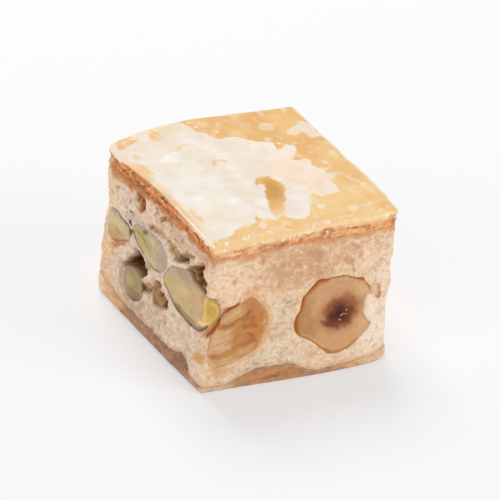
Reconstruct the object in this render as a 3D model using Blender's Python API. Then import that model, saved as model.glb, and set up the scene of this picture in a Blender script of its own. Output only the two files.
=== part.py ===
"""A square piece of nut baklava: two thin pastry sheets round a pale, crumbly filling with cut nuts in it.

Metres, +Z up. +X runs along the front face, +Y goes to the back, and the origin is the middle of the base.
The sizes below are in millimetres. A place on the walls is given as (along, up): the way round the piece from
the near left corner, first along the front, then right, back and left sides, and the height before the drooping
of the far left part. Places on the left side are counted back from the near corner, so they are negative.
"""

import bpy
import numpy as np

MM = 0.001

# The block
HEIGHT = 23.8
SIDE_LENGTHS = np.array([30.0, 32.0, 30.0, 32.0])
SIDE_STARTS = np.concatenate([[0.0], np.cumsum(SIDE_LENGTHS)])
PERIMETER = SIDE_STARTS[-1]

# Corners in plan, in the order near left, near right, far right, far left, and their roundings
TOP_CORNERS = np.array([(-15.07, -15.84), (14.83, -15.84), (15.63, 15.76), (-15.07, 17.76)])
FOOT_CORNERS = np.array([(-15.07, -15.84), (15.23, -18.14), (14.53, 14.36), (-15.77, 15.46)])
TOP_ROUNDINGS = np.array([0.5, 0.8, 0.6, 3.4])
FOOT_ROUNDINGS = np.array([0.5, 3.6, 2.0, 2.4])
TOP_BOWS = np.array([0.0, 0.2, 1.0, 0.0])
FOOT_BOWS = np.array([0.7, 0.3, 0.3, 0.2])
BOW_SKEW = 1.5
FLARE_POWER = 1.5

# The far left part of the top sinks
DROOP = 1.3
DROOP_BACK_FROM = 0.35
DROOP_LEFT_OF = 0.5
DROOP_SHAPE = 1.1

# Where the walls swell or give way: place, reach along and up, and how far out
SWELLS = (
    ((93.5, 16.5), (5.0, 9.0), -0.8),
    ((30.5, 7.5), (3.5, 4.0), -0.4),
    ((38.5, 23.0), (5.0, 6.0), 0.4),
)

# Rounded edges: how far up or down the wall they reach, and how far in
FOOT_EDGE = (0.7, 0.35)
TOP_EDGE = (0.5, 0.3)

# Relief of the crumbly filling, the sheets' edges and the top: cell size, height and seed
FILLING_CRAGS = ((3.3, 0.18, 11), (1.9, 0.14, 12))
EDGE_CRAGS = ((2.3, 0.12, 31),)
TOP_WAVES = ((5.5, 0.14, 21),)

# Where the filling meets the sheets, as (along, up)
BASE_SEAM = (
    (0, 1.4), (4, 1.3), (5, 1.8), (7, 2.7), (9, 3.0), (12, 2.9), (14, 2.3), (15.5, 1.4), (20, 1.2), (26, 1.3),
    (29, 1.8), (36, 1.6), (42, 2.4), (50, 1.5), (58, 2.2), (64, 1.7), (72, 2.6), (80, 1.6), (88, 2.3), (93, 3.1),
    (99, 2.6), (104, 2.3), (114, 2.5), (117, 3.3), (119, 3.4), (120.5, 1.8),
)
TOP_SEAM = (
    (0, 21.8), (5, 21.3), (10, 21.6), (15, 21.6), (19, 21.2), (24, 20.9), (29, 20.9), (40, 21.7), (48, 21.2),
    (57, 21.8), (66, 21.3), (75, 21.8), (84, 21.4), (92, 21.6), (96, 21.4), (100, 22.1), (104, 21.8), (112, 22.2),
    (118, 22.2),
)
SEAM_INSIDE = (1.8, 21.7)
GAP = 0.3

# Cut nuts that show at the sides: place, depth of the rest of the nut, and its radii at even angles from +along
NUTS = {
    "pistachio_edge": ((-25.9, 12.9), 3.2, (3.95, 3.9, 2.6, 2.35, 2.55, 3.5, 3.9, 3.6, 3.05, 2.3, 2.0, 2.5)),
    "pistachio_middle": ((-16.4, 14.6), 4.0, (4.9, 4.1, 2.75, 2.4, 2.7, 4.3, 4.6, 3.1, 2.6, 2.6, 3.1, 4.2)),
    "pistachio_corner": ((-5.2, 12.9), 3.2, (7.15, 5.8, 3.8, 3.9, 4.4, 5.4, 6.7, 5.2, 4.0, 3.75, 4.2, 5.3)),
    "pistachio_low": ((-20.4, 6.6), 5.0, (3.0, 3.1, 3.1, 2.9, 2.9, 2.95, 2.9, 2.9, 2.9, 2.9, 2.75, 2.8)),
    "hazelnut_broken": ((4.9, 9.5), 3.4, (4.7, 4.95, 5.25, 4.6, 3.6, 2.7, 3.5, 4.6, 6.0, 4.85, 4.3, 4.45)),
    "hazelnut_front": ((20.3, 9.1), 5.5, (6.2, 6.3, 6.2, 6.05, 6.75, 6.2, 6.5, 5.8, 5.35, 6.15, 6.35, 6.6)),
    "pistachio_right": ((38.5, 14.2), 3.6, (5.2, 3.9, 2.9, 2.6, 2.8, 3.7, 4.9, 4.2, 3.1, 2.7, 2.9, 3.8)),
    "hazelnut_right": ((50.5, 9.6), 5.2, (6.0, 6.3, 6.0, 5.9, 6.4, 6.1, 6.3, 5.9, 5.6, 6.0, 6.2, 6.4)),
    "pistachio_back": ((68.5, 8.7), 3.6, (4.8, 4.0, 3.1, 2.7, 2.9, 3.9, 5.3, 4.1, 2.9, 2.6, 2.8, 3.6)),
    "hazelnut_back": ((80.5, 12.6), 5.2, (6.2, 5.9, 6.1, 6.3, 6.0, 5.8, 6.1, 6.4, 6.0, 5.8, 6.1, 6.3)),
}

# A scrap of nut skin beside the front hazelnut, pressed into the filling
SKIN_SCRAP = ((27.05, 11.3), 0.8, (0.75, 0.85, 1.05, 1.2, 1.3, 0.95, 0.65, 0.5, 0.6, 1.0, 1.4, 0.9))

# A flake of filling that lies on the right edge of the front hazelnut: place, half sizes, thickness
FLAKE_AT = (26.2, 8.8)
FLAKE_HALF = (1.2, 2.3)
FLAKE_THICKNESS = 0.5

# Hollows in the filling, as the nuts
HOLLOWS = {
    "hollow_over_low_pistachio": ((-19.7, 10.8), 3.6, (2.2, 2.1, 1.8, 1.9, 1.7, 1.6, 1.8, 2.6, 1.8, 1.5, 1.6, 2.3)),
    "hollow_over_corner_pistachio": ((-5.3, 18.3), 2.5, (3.9, 2.6, 1.7, 1.4, 1.5, 2.3, 5.6, 2.6, 1.6, 1.6, 1.8, 2.6)),
    "hollow_under_pistachios": ((-12.4, 9.2), 1.8, (1.9, 1.7, 1.4, 1.5, 1.5, 1.5, 1.5, 1.3, 1.4, 1.6, 1.5, 1.6)),
    "hollow_under_sheet": ((-20.0, 20.4), 1.2, (1.3, 1.2, 1.3, 1.5, 1.3, 1.2, 1.2, 1.1, 1.2, 1.3, 1.2, 1.2)),
    "hollow_right": ((44.6, 17.2), 2.2, (2.9, 2.1, 1.4, 1.3, 1.4, 1.9, 2.6, 1.9, 1.3, 1.2, 1.4, 2.0)),
    "hollow_back": ((71.5, 15.0), 2.4, (3.0, 2.2, 1.7, 1.4, 1.5, 2.0, 2.7, 2.2, 1.5, 1.4, 1.5, 2.1)),
}
CUT_OUTSIDE = 1.5

# Mesh fineness
CELL = 1.4
CORNER_STATIONS = (0.0, 0.35, 0.95)
FILLING_ROWS = 14
SHEET_ROWS = 3
NUT_ANGLES = 24
FLAT_FACE_RINGS = (0.5, 1.0)
BENT_FACE_RINGS = (0.3, 0.5, 0.65, 0.78, 0.9, 1.0)
BOWL_ANGLES = (24, 48, 70)
CAP_RINGS = (0.975, 0.88, 0.7, 0.45, 0.2)
HIDDEN_RINGS = (0.8, 0.4)
FLAT_INSIDE = 0.5
WAVE_FADE = 12

GOLDEN_SHEET = (0.93, 0.76, 0.49)
BROWN_SHEET = (0.68, 0.47, 0.29)
FILLING_COLOUR = (0.86, 0.75, 0.63)
PISTACHIO_COLOUR = (0.72, 0.66, 0.40)
HAZELNUT_COLOUR = (0.80, 0.62, 0.42)
SKIN_COLOUR = (0.72, 0.42, 0.18)


def clear_scene():
    for thing in list(bpy.data.objects):
        bpy.data.objects.remove(thing, do_unlink=True)


def food_material(name, colour, roughness):
    """A Principled material, its colour given as it looks on screen."""
    material = bpy.data.materials.new(name)
    material.use_nodes = True
    shader = material.node_tree.nodes["Principled BSDF"]
    shader.inputs["Base Color"].default_value = (*[channel**2.2 for channel in colour], 1.0)
    shader.inputs["Roughness"].default_value = roughness
    shader.inputs["Metallic"].default_value = 0.0
    return material


def smooth_step(value):
    value = np.clip(value, 0.0, 1.0)
    return value * value * (3.0 - 2.0 * value)


def side_point(corners, bows, side, distance):
    """The point at this distance from the start of a side, on its slightly bowed line."""
    every = np.arange(len(distance))
    start = corners[side, every]
    end = corners[(side + 1) % 4, every]
    share = np.clip(distance / SIDE_LENGTHS[side], 0.0, 1.0)
    forward = (end - start) / np.linalg.norm(end - start, axis=1)[:, None]
    outward = np.stack([forward[:, 1], -forward[:, 0]], axis=1)
    bow = bows[side, every] * np.sin(np.pi * share**BOW_SKEW)
    return start + (end - start) * share[:, None] + outward * bow[:, None]


def plan_outline(along, up):
    """The plan position of each place on the walls, with the corners rounded."""
    along, up = np.broadcast_arrays(np.asarray(along, float) % PERIMETER, np.asarray(up, float))
    flat_along = along.ravel()
    flare = np.clip(1.0 - up.ravel() / HEIGHT, 0.0, 1.0) ** FLARE_POWER
    corners = TOP_CORNERS[:, None] + (FOOT_CORNERS - TOP_CORNERS)[:, None] * flare[None, :, None]
    roundings = TOP_ROUNDINGS[:, None] + (FOOT_ROUNDINGS - TOP_ROUNDINGS)[:, None] * flare
    bows = TOP_BOWS[:, None] + (FOOT_BOWS - TOP_BOWS)[:, None] * flare
    every = np.arange(len(flat_along))
    side = np.clip(np.searchsorted(SIDE_STARTS, flat_along, side="right") - 1, 0, 3)
    distance = flat_along - SIDE_STARTS[side]
    points = side_point(corners, bows, side, distance)
    for end in (0, 1):
        corner = (side + end) % 4
        before = (corner - 1) % 4
        rounding = roundings[corner, every]
        away = distance if end == 0 else SIDE_LENGTHS[side] - distance
        share = (rounding + away) / (2.0 * rounding) if end == 0 else (rounding - away) / (2.0 * rounding)
        share = share[:, None]
        entry = side_point(corners, bows, before, SIDE_LENGTHS[before] - rounding)
        leave = side_point(corners, bows, corner, rounding)
        arc = (1 - share) ** 2 * entry + 2 * share * (1 - share) * corners[corner, every] + share**2 * leave
        points = np.where((away < rounding)[:, None], arc, points)
    return points.reshape(along.shape + (2,))


def lowered(x, y, up):
    """The real height of a place, once the far left part has sunk."""
    back = (y - TOP_CORNERS[0, 1]) / SIDE_LENGTHS[1]
    right = (x - TOP_CORNERS[0, 0]) / SIDE_LENGTHS[0]
    backward = smooth_step((back - DROOP_BACK_FROM) / (1.0 - DROOP_BACK_FROM)) ** DROOP_SHAPE
    leftward = smooth_step((DROOP_LEFT_OF - right) / DROOP_LEFT_OF)
    return up - DROOP * backward * leftward * up / HEIGHT


def bulge(along, up):
    """How far the wall stands out: it swells and gives way in places, and its foot and top edge are rounded."""
    swell = 0.0
    for place, reach, height in SWELLS:
        way = (along - place[0] + PERIMETER / 2) % PERIMETER - PERIMETER / 2
        swell = swell + height * np.exp(-((way / reach[0]) ** 2) - ((up - place[1]) / reach[1]) ** 2)
    foot = np.clip(1.0 - up / FOOT_EDGE[0], 0.0, 1.0) ** 2
    top = np.clip(1.0 - (HEIGHT - up) / TOP_EDGE[0], 0.0, 1.0) ** 2
    return swell - FOOT_EDGE[1] * foot - TOP_EDGE[1] * top


def wall_point(along, up, depth=0.0):
    """The point on the wall at (along, up), or this far inside it, in millimetres."""
    along, up, depth = np.broadcast_arrays(*(np.asarray(value, float) for value in (along, up, depth)))
    step = 0.15
    plan = plan_outline(along, up)
    forward = plan_outline(along + step, up) - plan_outline(along - step, up)
    forward /= np.linalg.norm(forward, axis=-1)[..., None]
    outward = np.stack([forward[..., 1], -forward[..., 0]], axis=-1)
    moved = plan + outward * (bulge(along, up) - depth)[..., None]
    height = lowered(plan[..., 0], plan[..., 1], up)
    return np.concatenate([moved, height[..., None]], axis=-1)


def lattice_noise(along, up, cell, seed):
    """Smooth seeded noise from -1 to 1, which repeats once round the piece."""
    columns = round(PERIMETER / cell)
    rows = round(2 * PERIMETER / cell)
    lattice = np.random.default_rng(seed).uniform(-1.0, 1.0, (rows, columns))
    across, level = np.broadcast_arrays(along / PERIMETER * columns, up / cell + rows / 2)
    column = np.floor(across).astype(int)
    row = np.floor(level).astype(int)
    right = smooth_step(across - column)
    above = smooth_step(level - row)
    low = lattice[row % rows, column % columns] * (1 - right) + lattice[row % rows, (column + 1) % columns] * right
    row = row + 1
    high = lattice[row % rows, column % columns] * (1 - right) + lattice[row % rows, (column + 1) % columns] * right
    return low * (1 - above) + high * above


def crags(along, up, layers):
    return sum(height * lattice_noise(along, up, cell, seed) for cell, height, seed in layers)


def seam(stations, along):
    """The height of a seam at each place round the piece."""
    places, heights = np.array(stations, float).T
    return np.interp(along % PERIMETER, places, heights, period=PERIMETER)


def ring_stations():
    """Places round the piece: even along the sides and closer at the corners."""
    places = []
    for start, length in zip(SIDE_STARTS, SIDE_LENGTHS):
        inner = np.arange(1, round(length / CELL) - 1) * (length / round(length / CELL))
        ends = [length - near for near in reversed(CORNER_STATIONS[1:])]
        places.extend(start + np.concatenate([CORNER_STATIONS, inner[inner > 1.5], ends]))
    return np.array(places)


def solid_from_rings(name, rings, first, last, material):
    """A closed object: rings of points bridged one to the next, with a fan to a point at each end. Millimetres."""
    count = len(rings[0])
    points = np.concatenate([*rings, [first], [last]]) * MM
    faces = []
    here = np.arange(count)
    following = (here + 1) % count
    for level in range(len(rings) - 1):
        low, high = level * count, (level + 1) * count
        quads = np.stack([low + here, low + following, high + following, high + here], axis=1)
        faces.extend(quads.tolist())
    first_index = len(rings) * count
    top = (len(rings) - 1) * count
    faces.extend(np.stack([following, here, here * 0 + first_index], axis=1).tolist())
    faces.extend(np.stack([top + here, top + following, here * 0 + first_index + 1], axis=1).tolist())
    mesh = bpy.data.meshes.new(name)
    mesh.from_pydata(points.tolist(), [], faces)
    mesh.materials.append(material)
    thing = bpy.data.objects.new(name, mesh)
    bpy.context.scene.collection.objects.link(thing)
    return thing


def layer(name, low, high, rows, rings_above, inside, material, relief, waves=()):
    """A layer of the piece between two heights round its wall, which flatten out to the inside heights."""
    along = ring_stations()
    low_edge, high_edge = low(along), high(along)
    wall_rings = []
    for share in np.linspace(0.0, 1.0, rows + 1):
        up = low_edge + (high_edge - low_edge) * share
        wall_rings.append(wall_point(along, up, -crags(along, up, relief)))

    def cap_ring(edge, edge_up, inside_up, share):
        plan = edge[:, :2] * share
        up = inside_up + (edge_up - inside_up) * smooth_step((share - FLAT_INSIDE) / (1.0 - FLAT_INSIDE))
        wave = crags(plan[:, 0], plan[:, 1], waves) if waves else 0.0
        return np.column_stack([plan, lowered(plan[:, 0], plan[:, 1], up) + wave * (1 - share**WAVE_FADE)])

    below = [cap_ring(wall_rings[0], low_edge, inside[0], share) for share in HIDDEN_RINGS]
    above = [cap_ring(wall_rings[-1], high_edge, inside[1], share) for share in rings_above]
    first = (0.0, 0.0, lowered(0.0, 0.0, inside[0]))
    last = (0.0, 0.0, lowered(0.0, 0.0, inside[1]))
    return solid_from_rings(name, below[::-1] + wall_rings + above, first, last, material)


def radius_at(radii, angle):
    """The radius at an angle, on a smooth closed curve through the even radii."""
    radii = np.asarray(radii, float)
    place = angle / (2 * np.pi) * len(radii)
    index = np.floor(place).astype(int)
    share = place - index
    before, here, after, beyond = (radii[(index + shift) % len(radii)] for shift in (-1, 0, 1, 2))
    slope_here = (after - before) / 2
    slope_after = (beyond - here) / 2
    return (
        (2 * share**3 - 3 * share**2 + 1) * here
        + (share**3 - 2 * share**2 + share) * slope_here
        + (3 * share**2 - 2 * share**3) * after
        + (share**3 - share**2) * slope_after
    )


def face_rings(centre, radius):
    """More rings where the nut's face bends round a corner of the piece."""
    reach = np.array([centre[0] - radius.max(), centre[0] + radius.max()]) % PERIMETER
    sides = np.searchsorted(SIDE_STARTS, reach)
    return FLAT_FACE_RINGS if sides[0] == sides[1] else BENT_FACE_RINGS


def nut(name, centre, depth, radii, material, grow=0.0, outside=0.0):
    """A cut nut: a face flush with the wall and a rounded rest inside. A larger copy of it cuts its pocket."""
    angle = np.arange(NUT_ANGLES) * 2 * np.pi / NUT_ANGLES
    radius = radius_at(radii, angle) + grow

    def face_ring(share, inward):
        along = centre[0] + radius * share * np.cos(angle)
        up = centre[1] + radius * share * np.sin(angle)
        return wall_point(along, up, inward)

    edge = face_ring(1.0, 0.0)
    middle = edge.mean(axis=0)
    innermost = wall_point(centre[0], centre[1], depth + grow)
    rings = []
    for degrees in reversed(BOWL_ANGLES):
        turn = np.radians(degrees)
        rings.append(middle + (edge - middle) * np.cos(turn) + (innermost - middle) * np.sin(turn))
    if outside:
        rings.append(edge)
    rings.extend(face_ring(share, -outside) for share in reversed(face_rings(centre, radius)))
    face_middle = wall_point(centre[0], centre[1], -outside)
    return solid_from_rings(name, rings, innermost, face_middle, material)


def flake(name, material):
    """A small flat flake just outside the wall."""
    angle = np.arange(NUT_ANGLES) * 2 * np.pi / NUT_ANGLES

    def ring(share, outward):
        along = FLAKE_AT[0] + FLAKE_HALF[0] * share * np.cos(angle)
        up = FLAKE_AT[1] + FLAKE_HALF[1] * share * np.sin(angle)
        return wall_point(along, up, -outward)

    outer = GAP + FLAKE_THICKNESS
    rings = [ring(0.5, GAP), ring(1.0, GAP), ring(1.0, outer), ring(0.5, outer)]
    first = wall_point(*FLAKE_AT, -GAP)
    last = wall_point(*FLAKE_AT, -outer)
    return solid_from_rings(name, rings, first, last, material)


def cut_pocket(body, name, centre, depth, radii, grow):
    """Cuts one pocket or hollow out of the filling."""
    cutter = nut(name, centre, depth, radii, body.data.materials[0], grow, CUT_OUTSIDE)
    cutter.hide_render = True
    cutter.display_type = "WIRE"
    modifier = body.modifiers.new(name, "BOOLEAN")
    modifier.operation = "DIFFERENCE"
    modifier.solver = "EXACT"
    modifier.object = cutter


def main():
    clear_scene()
    golden = food_material("golden_sheet", GOLDEN_SHEET, 0.3)
    brown = food_material("brown_sheet", BROWN_SHEET, 0.5)
    pale = food_material("filling", FILLING_COLOUR, 0.7)
    pistachio = food_material("pistachio", PISTACHIO_COLOUR, 0.45)
    hazelnut = food_material("hazelnut", HAZELNUT_COLOUR, 0.45)
    skin = food_material("nut_skin", SKIN_COLOUR, 0.4)

    half_gap = GAP / 2
    layer(
        "pastry_bottom", lambda along: along * 0, lambda along: seam(BASE_SEAM, along) - half_gap,
        SHEET_ROWS, HIDDEN_RINGS, (0.0, SEAM_INSIDE[0] - half_gap), brown, EDGE_CRAGS,
    )
    filling = layer(
        "filling", lambda along: seam(BASE_SEAM, along) + half_gap, lambda along: seam(TOP_SEAM, along) - half_gap,
        FILLING_ROWS, HIDDEN_RINGS, (SEAM_INSIDE[0] + half_gap, SEAM_INSIDE[1] - half_gap), pale, FILLING_CRAGS,
    )
    layer(
        "pastry_top", lambda along: seam(TOP_SEAM, along) + half_gap, lambda along: along * 0 + HEIGHT,
        SHEET_ROWS, CAP_RINGS, (SEAM_INSIDE[1] + half_gap, HEIGHT), golden, EDGE_CRAGS, TOP_WAVES,
    )
    for name, (centre, depth, radii) in NUTS.items():
        nut(name, centre, depth, radii, pistachio if name.startswith("pistachio") else hazelnut)
        cut_pocket(filling, name + "_pocket", centre, depth, radii, GAP)
    nut("skin_scrap", *SKIN_SCRAP, skin)
    cut_pocket(filling, "skin_scrap_pocket", *SKIN_SCRAP, GAP)
    for name, (centre, depth, radii) in HOLLOWS.items():
        cut_pocket(filling, name, centre, depth, radii, 0.0)
    flake("filling_flake", pale)


main()
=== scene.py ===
"""The looks of the baklava piece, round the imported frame.

Shapes are worked out in millimetres, as in the part's source, and turned into metres where a mesh is made.
A place on the walls is (along, up): along runs from the near left corner round the front, right, back and
left sides, and places on the left side are counted back from the near corner, so they are negative. A place
on the top is (right, back), counted from the near left corner. Colours are painted on the points of each
mesh, as they look on screen, from soft ovals, lines and patches, and the materials add fine mottles. Tones
run from 0 to 255. Each layer of noise has a seed number of its own, so every run gives the same piece.
"""

import math

import bpy
import numpy as np
from mathutils import Matrix, Vector


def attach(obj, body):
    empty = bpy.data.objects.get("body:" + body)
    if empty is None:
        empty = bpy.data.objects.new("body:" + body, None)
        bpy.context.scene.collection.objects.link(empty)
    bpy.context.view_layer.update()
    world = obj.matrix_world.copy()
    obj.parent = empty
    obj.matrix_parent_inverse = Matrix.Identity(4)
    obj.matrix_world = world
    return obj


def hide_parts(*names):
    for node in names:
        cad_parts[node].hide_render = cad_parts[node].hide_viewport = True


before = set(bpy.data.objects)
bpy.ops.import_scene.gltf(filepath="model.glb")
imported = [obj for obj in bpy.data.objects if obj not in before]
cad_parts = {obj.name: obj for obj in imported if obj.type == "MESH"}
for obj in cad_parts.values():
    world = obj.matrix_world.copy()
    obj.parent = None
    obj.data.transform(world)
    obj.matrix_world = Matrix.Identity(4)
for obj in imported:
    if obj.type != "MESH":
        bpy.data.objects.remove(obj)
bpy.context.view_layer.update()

MM = 0.001

# The block, as in the part's source
HEIGHT = 23.8
SIDE_LENGTHS = np.array([30.0, 32.0, 30.0, 32.0])
SIDE_STARTS = np.concatenate([[0.0], np.cumsum(SIDE_LENGTHS)])
PERIMETER = SIDE_STARTS[-1]
TOP_CORNERS = np.array([(-15.07, -15.84), (14.83, -15.84), (15.63, 15.76), (-15.07, 17.76)])
FOOT_CORNERS = np.array([(-15.07, -15.84), (15.23, -18.14), (14.53, 14.36), (-15.77, 15.46)])
TOP_ROUNDINGS = np.array([0.5, 0.8, 0.6, 3.4])
FOOT_ROUNDINGS = np.array([0.5, 3.6, 2.0, 2.4])
TOP_BOWS = np.array([0.0, 0.2, 1.0, 0.0])
FOOT_BOWS = np.array([0.7, 0.3, 0.3, 0.2])
BOW_SKEW = 1.5
FLARE_POWER = 1.5
DROOP = 1.3
DROOP_BACK_FROM = 0.35
DROOP_LEFT_OF = 0.5
DROOP_SHAPE = 1.1
SWELLS = (
    ((93.5, 16.5), (5.0, 9.0), -0.8),
    ((30.5, 7.5), (3.5, 4.0), -0.4),
    ((38.5, 23.0), (5.0, 6.0), 0.4),
)
FOOT_EDGE = (0.7, 0.35)
TOP_EDGE = (0.5, 0.3)
FILLING_CRAGS = ((3.3, 0.18, 11), (1.9, 0.14, 12))
EDGE_CRAGS = ((2.3, 0.12, 31),)
TOP_WAVES = ((5.5, 0.14, 21),)
TOP_SEAM = (
    (0, 21.8), (5, 21.3), (10, 21.6), (15, 21.6), (19, 21.2), (24, 20.9), (29, 20.9), (40, 21.7),
    (48, 21.2), (57, 21.8), (66, 21.3), (75, 21.8), (84, 21.4), (92, 21.6), (96, 21.4), (100, 22.1),
    (104, 21.8), (112, 22.2), (118, 22.2),
)
SEAM_INSIDE = (1.8, 21.7)

# Cut nuts, as in the part's source: the middle of each cut, and how deep the rest of the nut goes in
NUTS = {
    "pistachio_edge": ((-25.9, 12.9), 3.2),
    "pistachio_middle": ((-16.4, 14.6), 4.0),
    "pistachio_corner": ((-5.2, 12.9), 3.2),
    "pistachio_low": ((-20.4, 6.6), 5.0),
    "hazelnut_broken": ((4.9, 9.5), 3.4),
    "hazelnut_front": ((20.3, 9.1), 5.5),
    "pistachio_right": ((38.5, 14.2), 3.6),
    "hazelnut_right": ((50.5, 9.6), 5.2),
    "pistachio_back": ((68.5, 8.7), 3.6),
    "hazelnut_back": ((80.5, 12.6), 5.2),
    "skin_scrap": ((27.05, 11.3), 0.8),
}
# The radii of the cuts that have no drawn outline, at even angles from +along
NUT_RADII = {
    "pistachio_right": (5.2, 3.9, 2.9, 2.6, 2.8, 3.7, 4.9, 4.2, 3.1, 2.7, 2.9, 3.8),
    "hazelnut_right": (6.0, 6.3, 6.0, 5.9, 6.4, 6.1, 6.3, 5.9, 5.6, 6.0, 6.2, 6.4),
    "pistachio_back": (4.8, 4.0, 3.1, 2.7, 2.9, 3.9, 5.3, 4.1, 2.9, 2.6, 2.8, 3.6),
    "hazelnut_back": (6.2, 5.9, 6.1, 6.3, 6.0, 5.8, 6.1, 6.4, 6.0, 5.8, 6.1, 6.3),
    "skin_scrap": (0.75, 0.85, 1.05, 1.2, 1.3, 0.95, 0.65, 0.5, 0.6, 1.0, 1.4, 0.9),
}
# The hollows of the sides that the photo doesn't show: place, depth and radii
HOLLOWS = {
    "hollow_right": ((44.6, 17.2), 2.2, (2.9, 2.1, 1.4, 1.3, 1.4, 1.9, 2.6, 1.9, 1.3, 1.2, 1.4, 2.0)),
    "hollow_back": ((71.5, 15.0), 2.4, (3.0, 2.2, 1.7, 1.4, 1.5, 2.0, 2.7, 2.2, 1.5, 1.4, 1.5, 2.1)),
}
FLAKE_OUTLINE = (
    (25.3, 11.3), (26.0, 11.2), (26.6, 10.3), (27.3, 9.8), (27.4, 9.2), (27.0, 8.0), (26.6, 7.2), (26.3, 6.5),
    (25.6, 7.2), (25.1, 8.0), (25.0, 9.5), (25.1, 10.5),
)
FLAKE_THICKNESS = 0.45
FLAKE_BITE = 0.1

# The true outlines of the cut nuts that the photo shows, as (along, up)
NUT_OUTLINES = {
    "pistachio_edge": (
        (-29.9, 12.6), (-29.3, 14.2), (-28.3, 15.0), (-26.5, 15.5), (-25.0, 15.2), (-23.0, 15.35),
        (-22.3, 15.1), (-21.7, 14.2), (-21.9, 13.2), (-22.4, 12.4), (-23.5, 11.9), (-25.0, 11.0),
        (-26.5, 10.1), (-28.0, 10.1), (-29.2, 11.0),
    ),
    "pistachio_middle": (
        (-21.3, 15.5), (-20.7, 16.4), (-19.3, 16.9), (-17.6, 17.1), (-15.0, 17.3), (-13.6, 17.1),
        (-12.2, 16.5), (-11.3, 15.6), (-11.4, 14.4), (-12.1, 13.1), (-13.3, 12.2), (-14.8, 11.9),
        (-16.2, 12.0), (-17.5, 12.4), (-18.4, 12.9), (-19.6, 13.4), (-20.6, 14.0), (-21.1, 14.7),
    ),
    "pistachio_corner": (
        (-12.1, 12.1), (-11.9, 12.8), (-11.1, 14.1), (-10.2, 15.2), (-9.0, 15.8), (-7.6, 16.4),
        (-6.4, 16.9), (-5.2, 17.0), (-4.2, 16.4), (-3.2, 16.1), (-1.8, 15.9), (-0.6, 15.9), (0.1, 15.9),
        (1.0, 15.4), (1.6, 14.7), (2.0, 13.8), (1.9, 12.8), (1.2, 12.0), (0.6, 11.5), (0.0, 10.8),
        (-0.8, 10.0), (-1.8, 9.4), (-3.0, 9.1), (-5.0, 9.0), (-6.5, 9.2), (-8.0, 9.4), (-9.2, 9.9),
        (-10.0, 10.4), (-10.9, 11.0), (-11.7, 11.4),
    ),
    "pistachio_low": (
        (-23.3, 7.0), (-22.8, 8.0), (-22.0, 8.8), (-20.5, 9.2), (-18.7, 9.1), (-17.7, 8.3), (-17.3, 7.2),
        (-17.4, 5.9), (-18.4, 4.6), (-20.0, 3.8), (-22.0, 4.1), (-23.0, 5.3),
    ),
    "hazelnut_broken": (
        (0.9, 9.7), (1.6, 10.4), (2.0, 11.2), (2.2, 12.1), (3.0, 12.9), (4.1, 13.4), (5.0, 13.8),
        (5.6, 14.4), (6.6, 14.8), (7.6, 14.2), (8.4, 13.3), (9.1, 12.2), (9.5, 11.0), (9.6, 9.8),
        (9.3, 8.6), (8.8, 7.4), (8.0, 6.3), (7.0, 5.7), (6.0, 5.2), (5.0, 4.7), (4.0, 4.3), (3.0, 4.0),
        (1.9, 3.9), (1.1, 4.6), (0.7, 5.5), (0.6, 6.5), (0.7, 8.0),
    ),
    "hazelnut_front": (
        (17.6, 15.3), (18.5, 15.1), (20.0, 15.1), (21.0, 15.15), (22.3, 14.9), (23.0, 14.5), (23.8, 14.2),
        (25.0, 14.0), (25.1, 13.4), (25.6, 12.8), (26.0, 12.2), (26.3, 11.0), (26.4, 9.0), (26.4, 6.8),
        (26.1, 6.1), (25.2, 5.2), (24.0, 4.2), (23.0, 3.5), (22.0, 3.15), (21.0, 2.95), (20.0, 3.0),
        (19.2, 3.2), (18.6, 3.8), (18.0, 4.3), (17.3, 5.0), (16.5, 5.7), (15.4, 6.3), (14.7, 6.8),
        (14.2, 7.3), (13.9, 8.0), (13.8, 8.8), (13.9, 9.6), (14.1, 10.2), (14.45, 10.6), (14.65, 11.1),
        (14.8, 11.8), (14.85, 12.4), (15.1, 13.0), (15.6, 13.4), (16.0, 13.9), (16.5, 14.3), (17.0, 14.8),
    ),
}

# Where the scene's own base seam runs, as (along, up): it follows the solid's, with the front's small steps
BASE_EDGE = (
    (0, 1.0), (3.5, 1.0), (5, 1.4), (6, 1.9), (7, 2.4), (8, 2.8), (9, 3.0), (10, 2.9), (13, 2.9), (14, 2.6),
    (15, 2.0), (16, 1.3), (18, 0.9), (20, 1.0), (26, 1.3), (29, 1.8), (36, 1.6), (42, 2.4), (50, 1.5),
    (58, 2.2), (64, 1.7), (72, 2.6), (80, 1.6), (88, 2.3), (93, 3.1), (99, 2.6), (104, 2.3), (114, 2.3),
    (116.5, 2.8), (118, 3.6), (119.5, 3.5), (120.5, 1.8), (122, 1.2),
)

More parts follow.
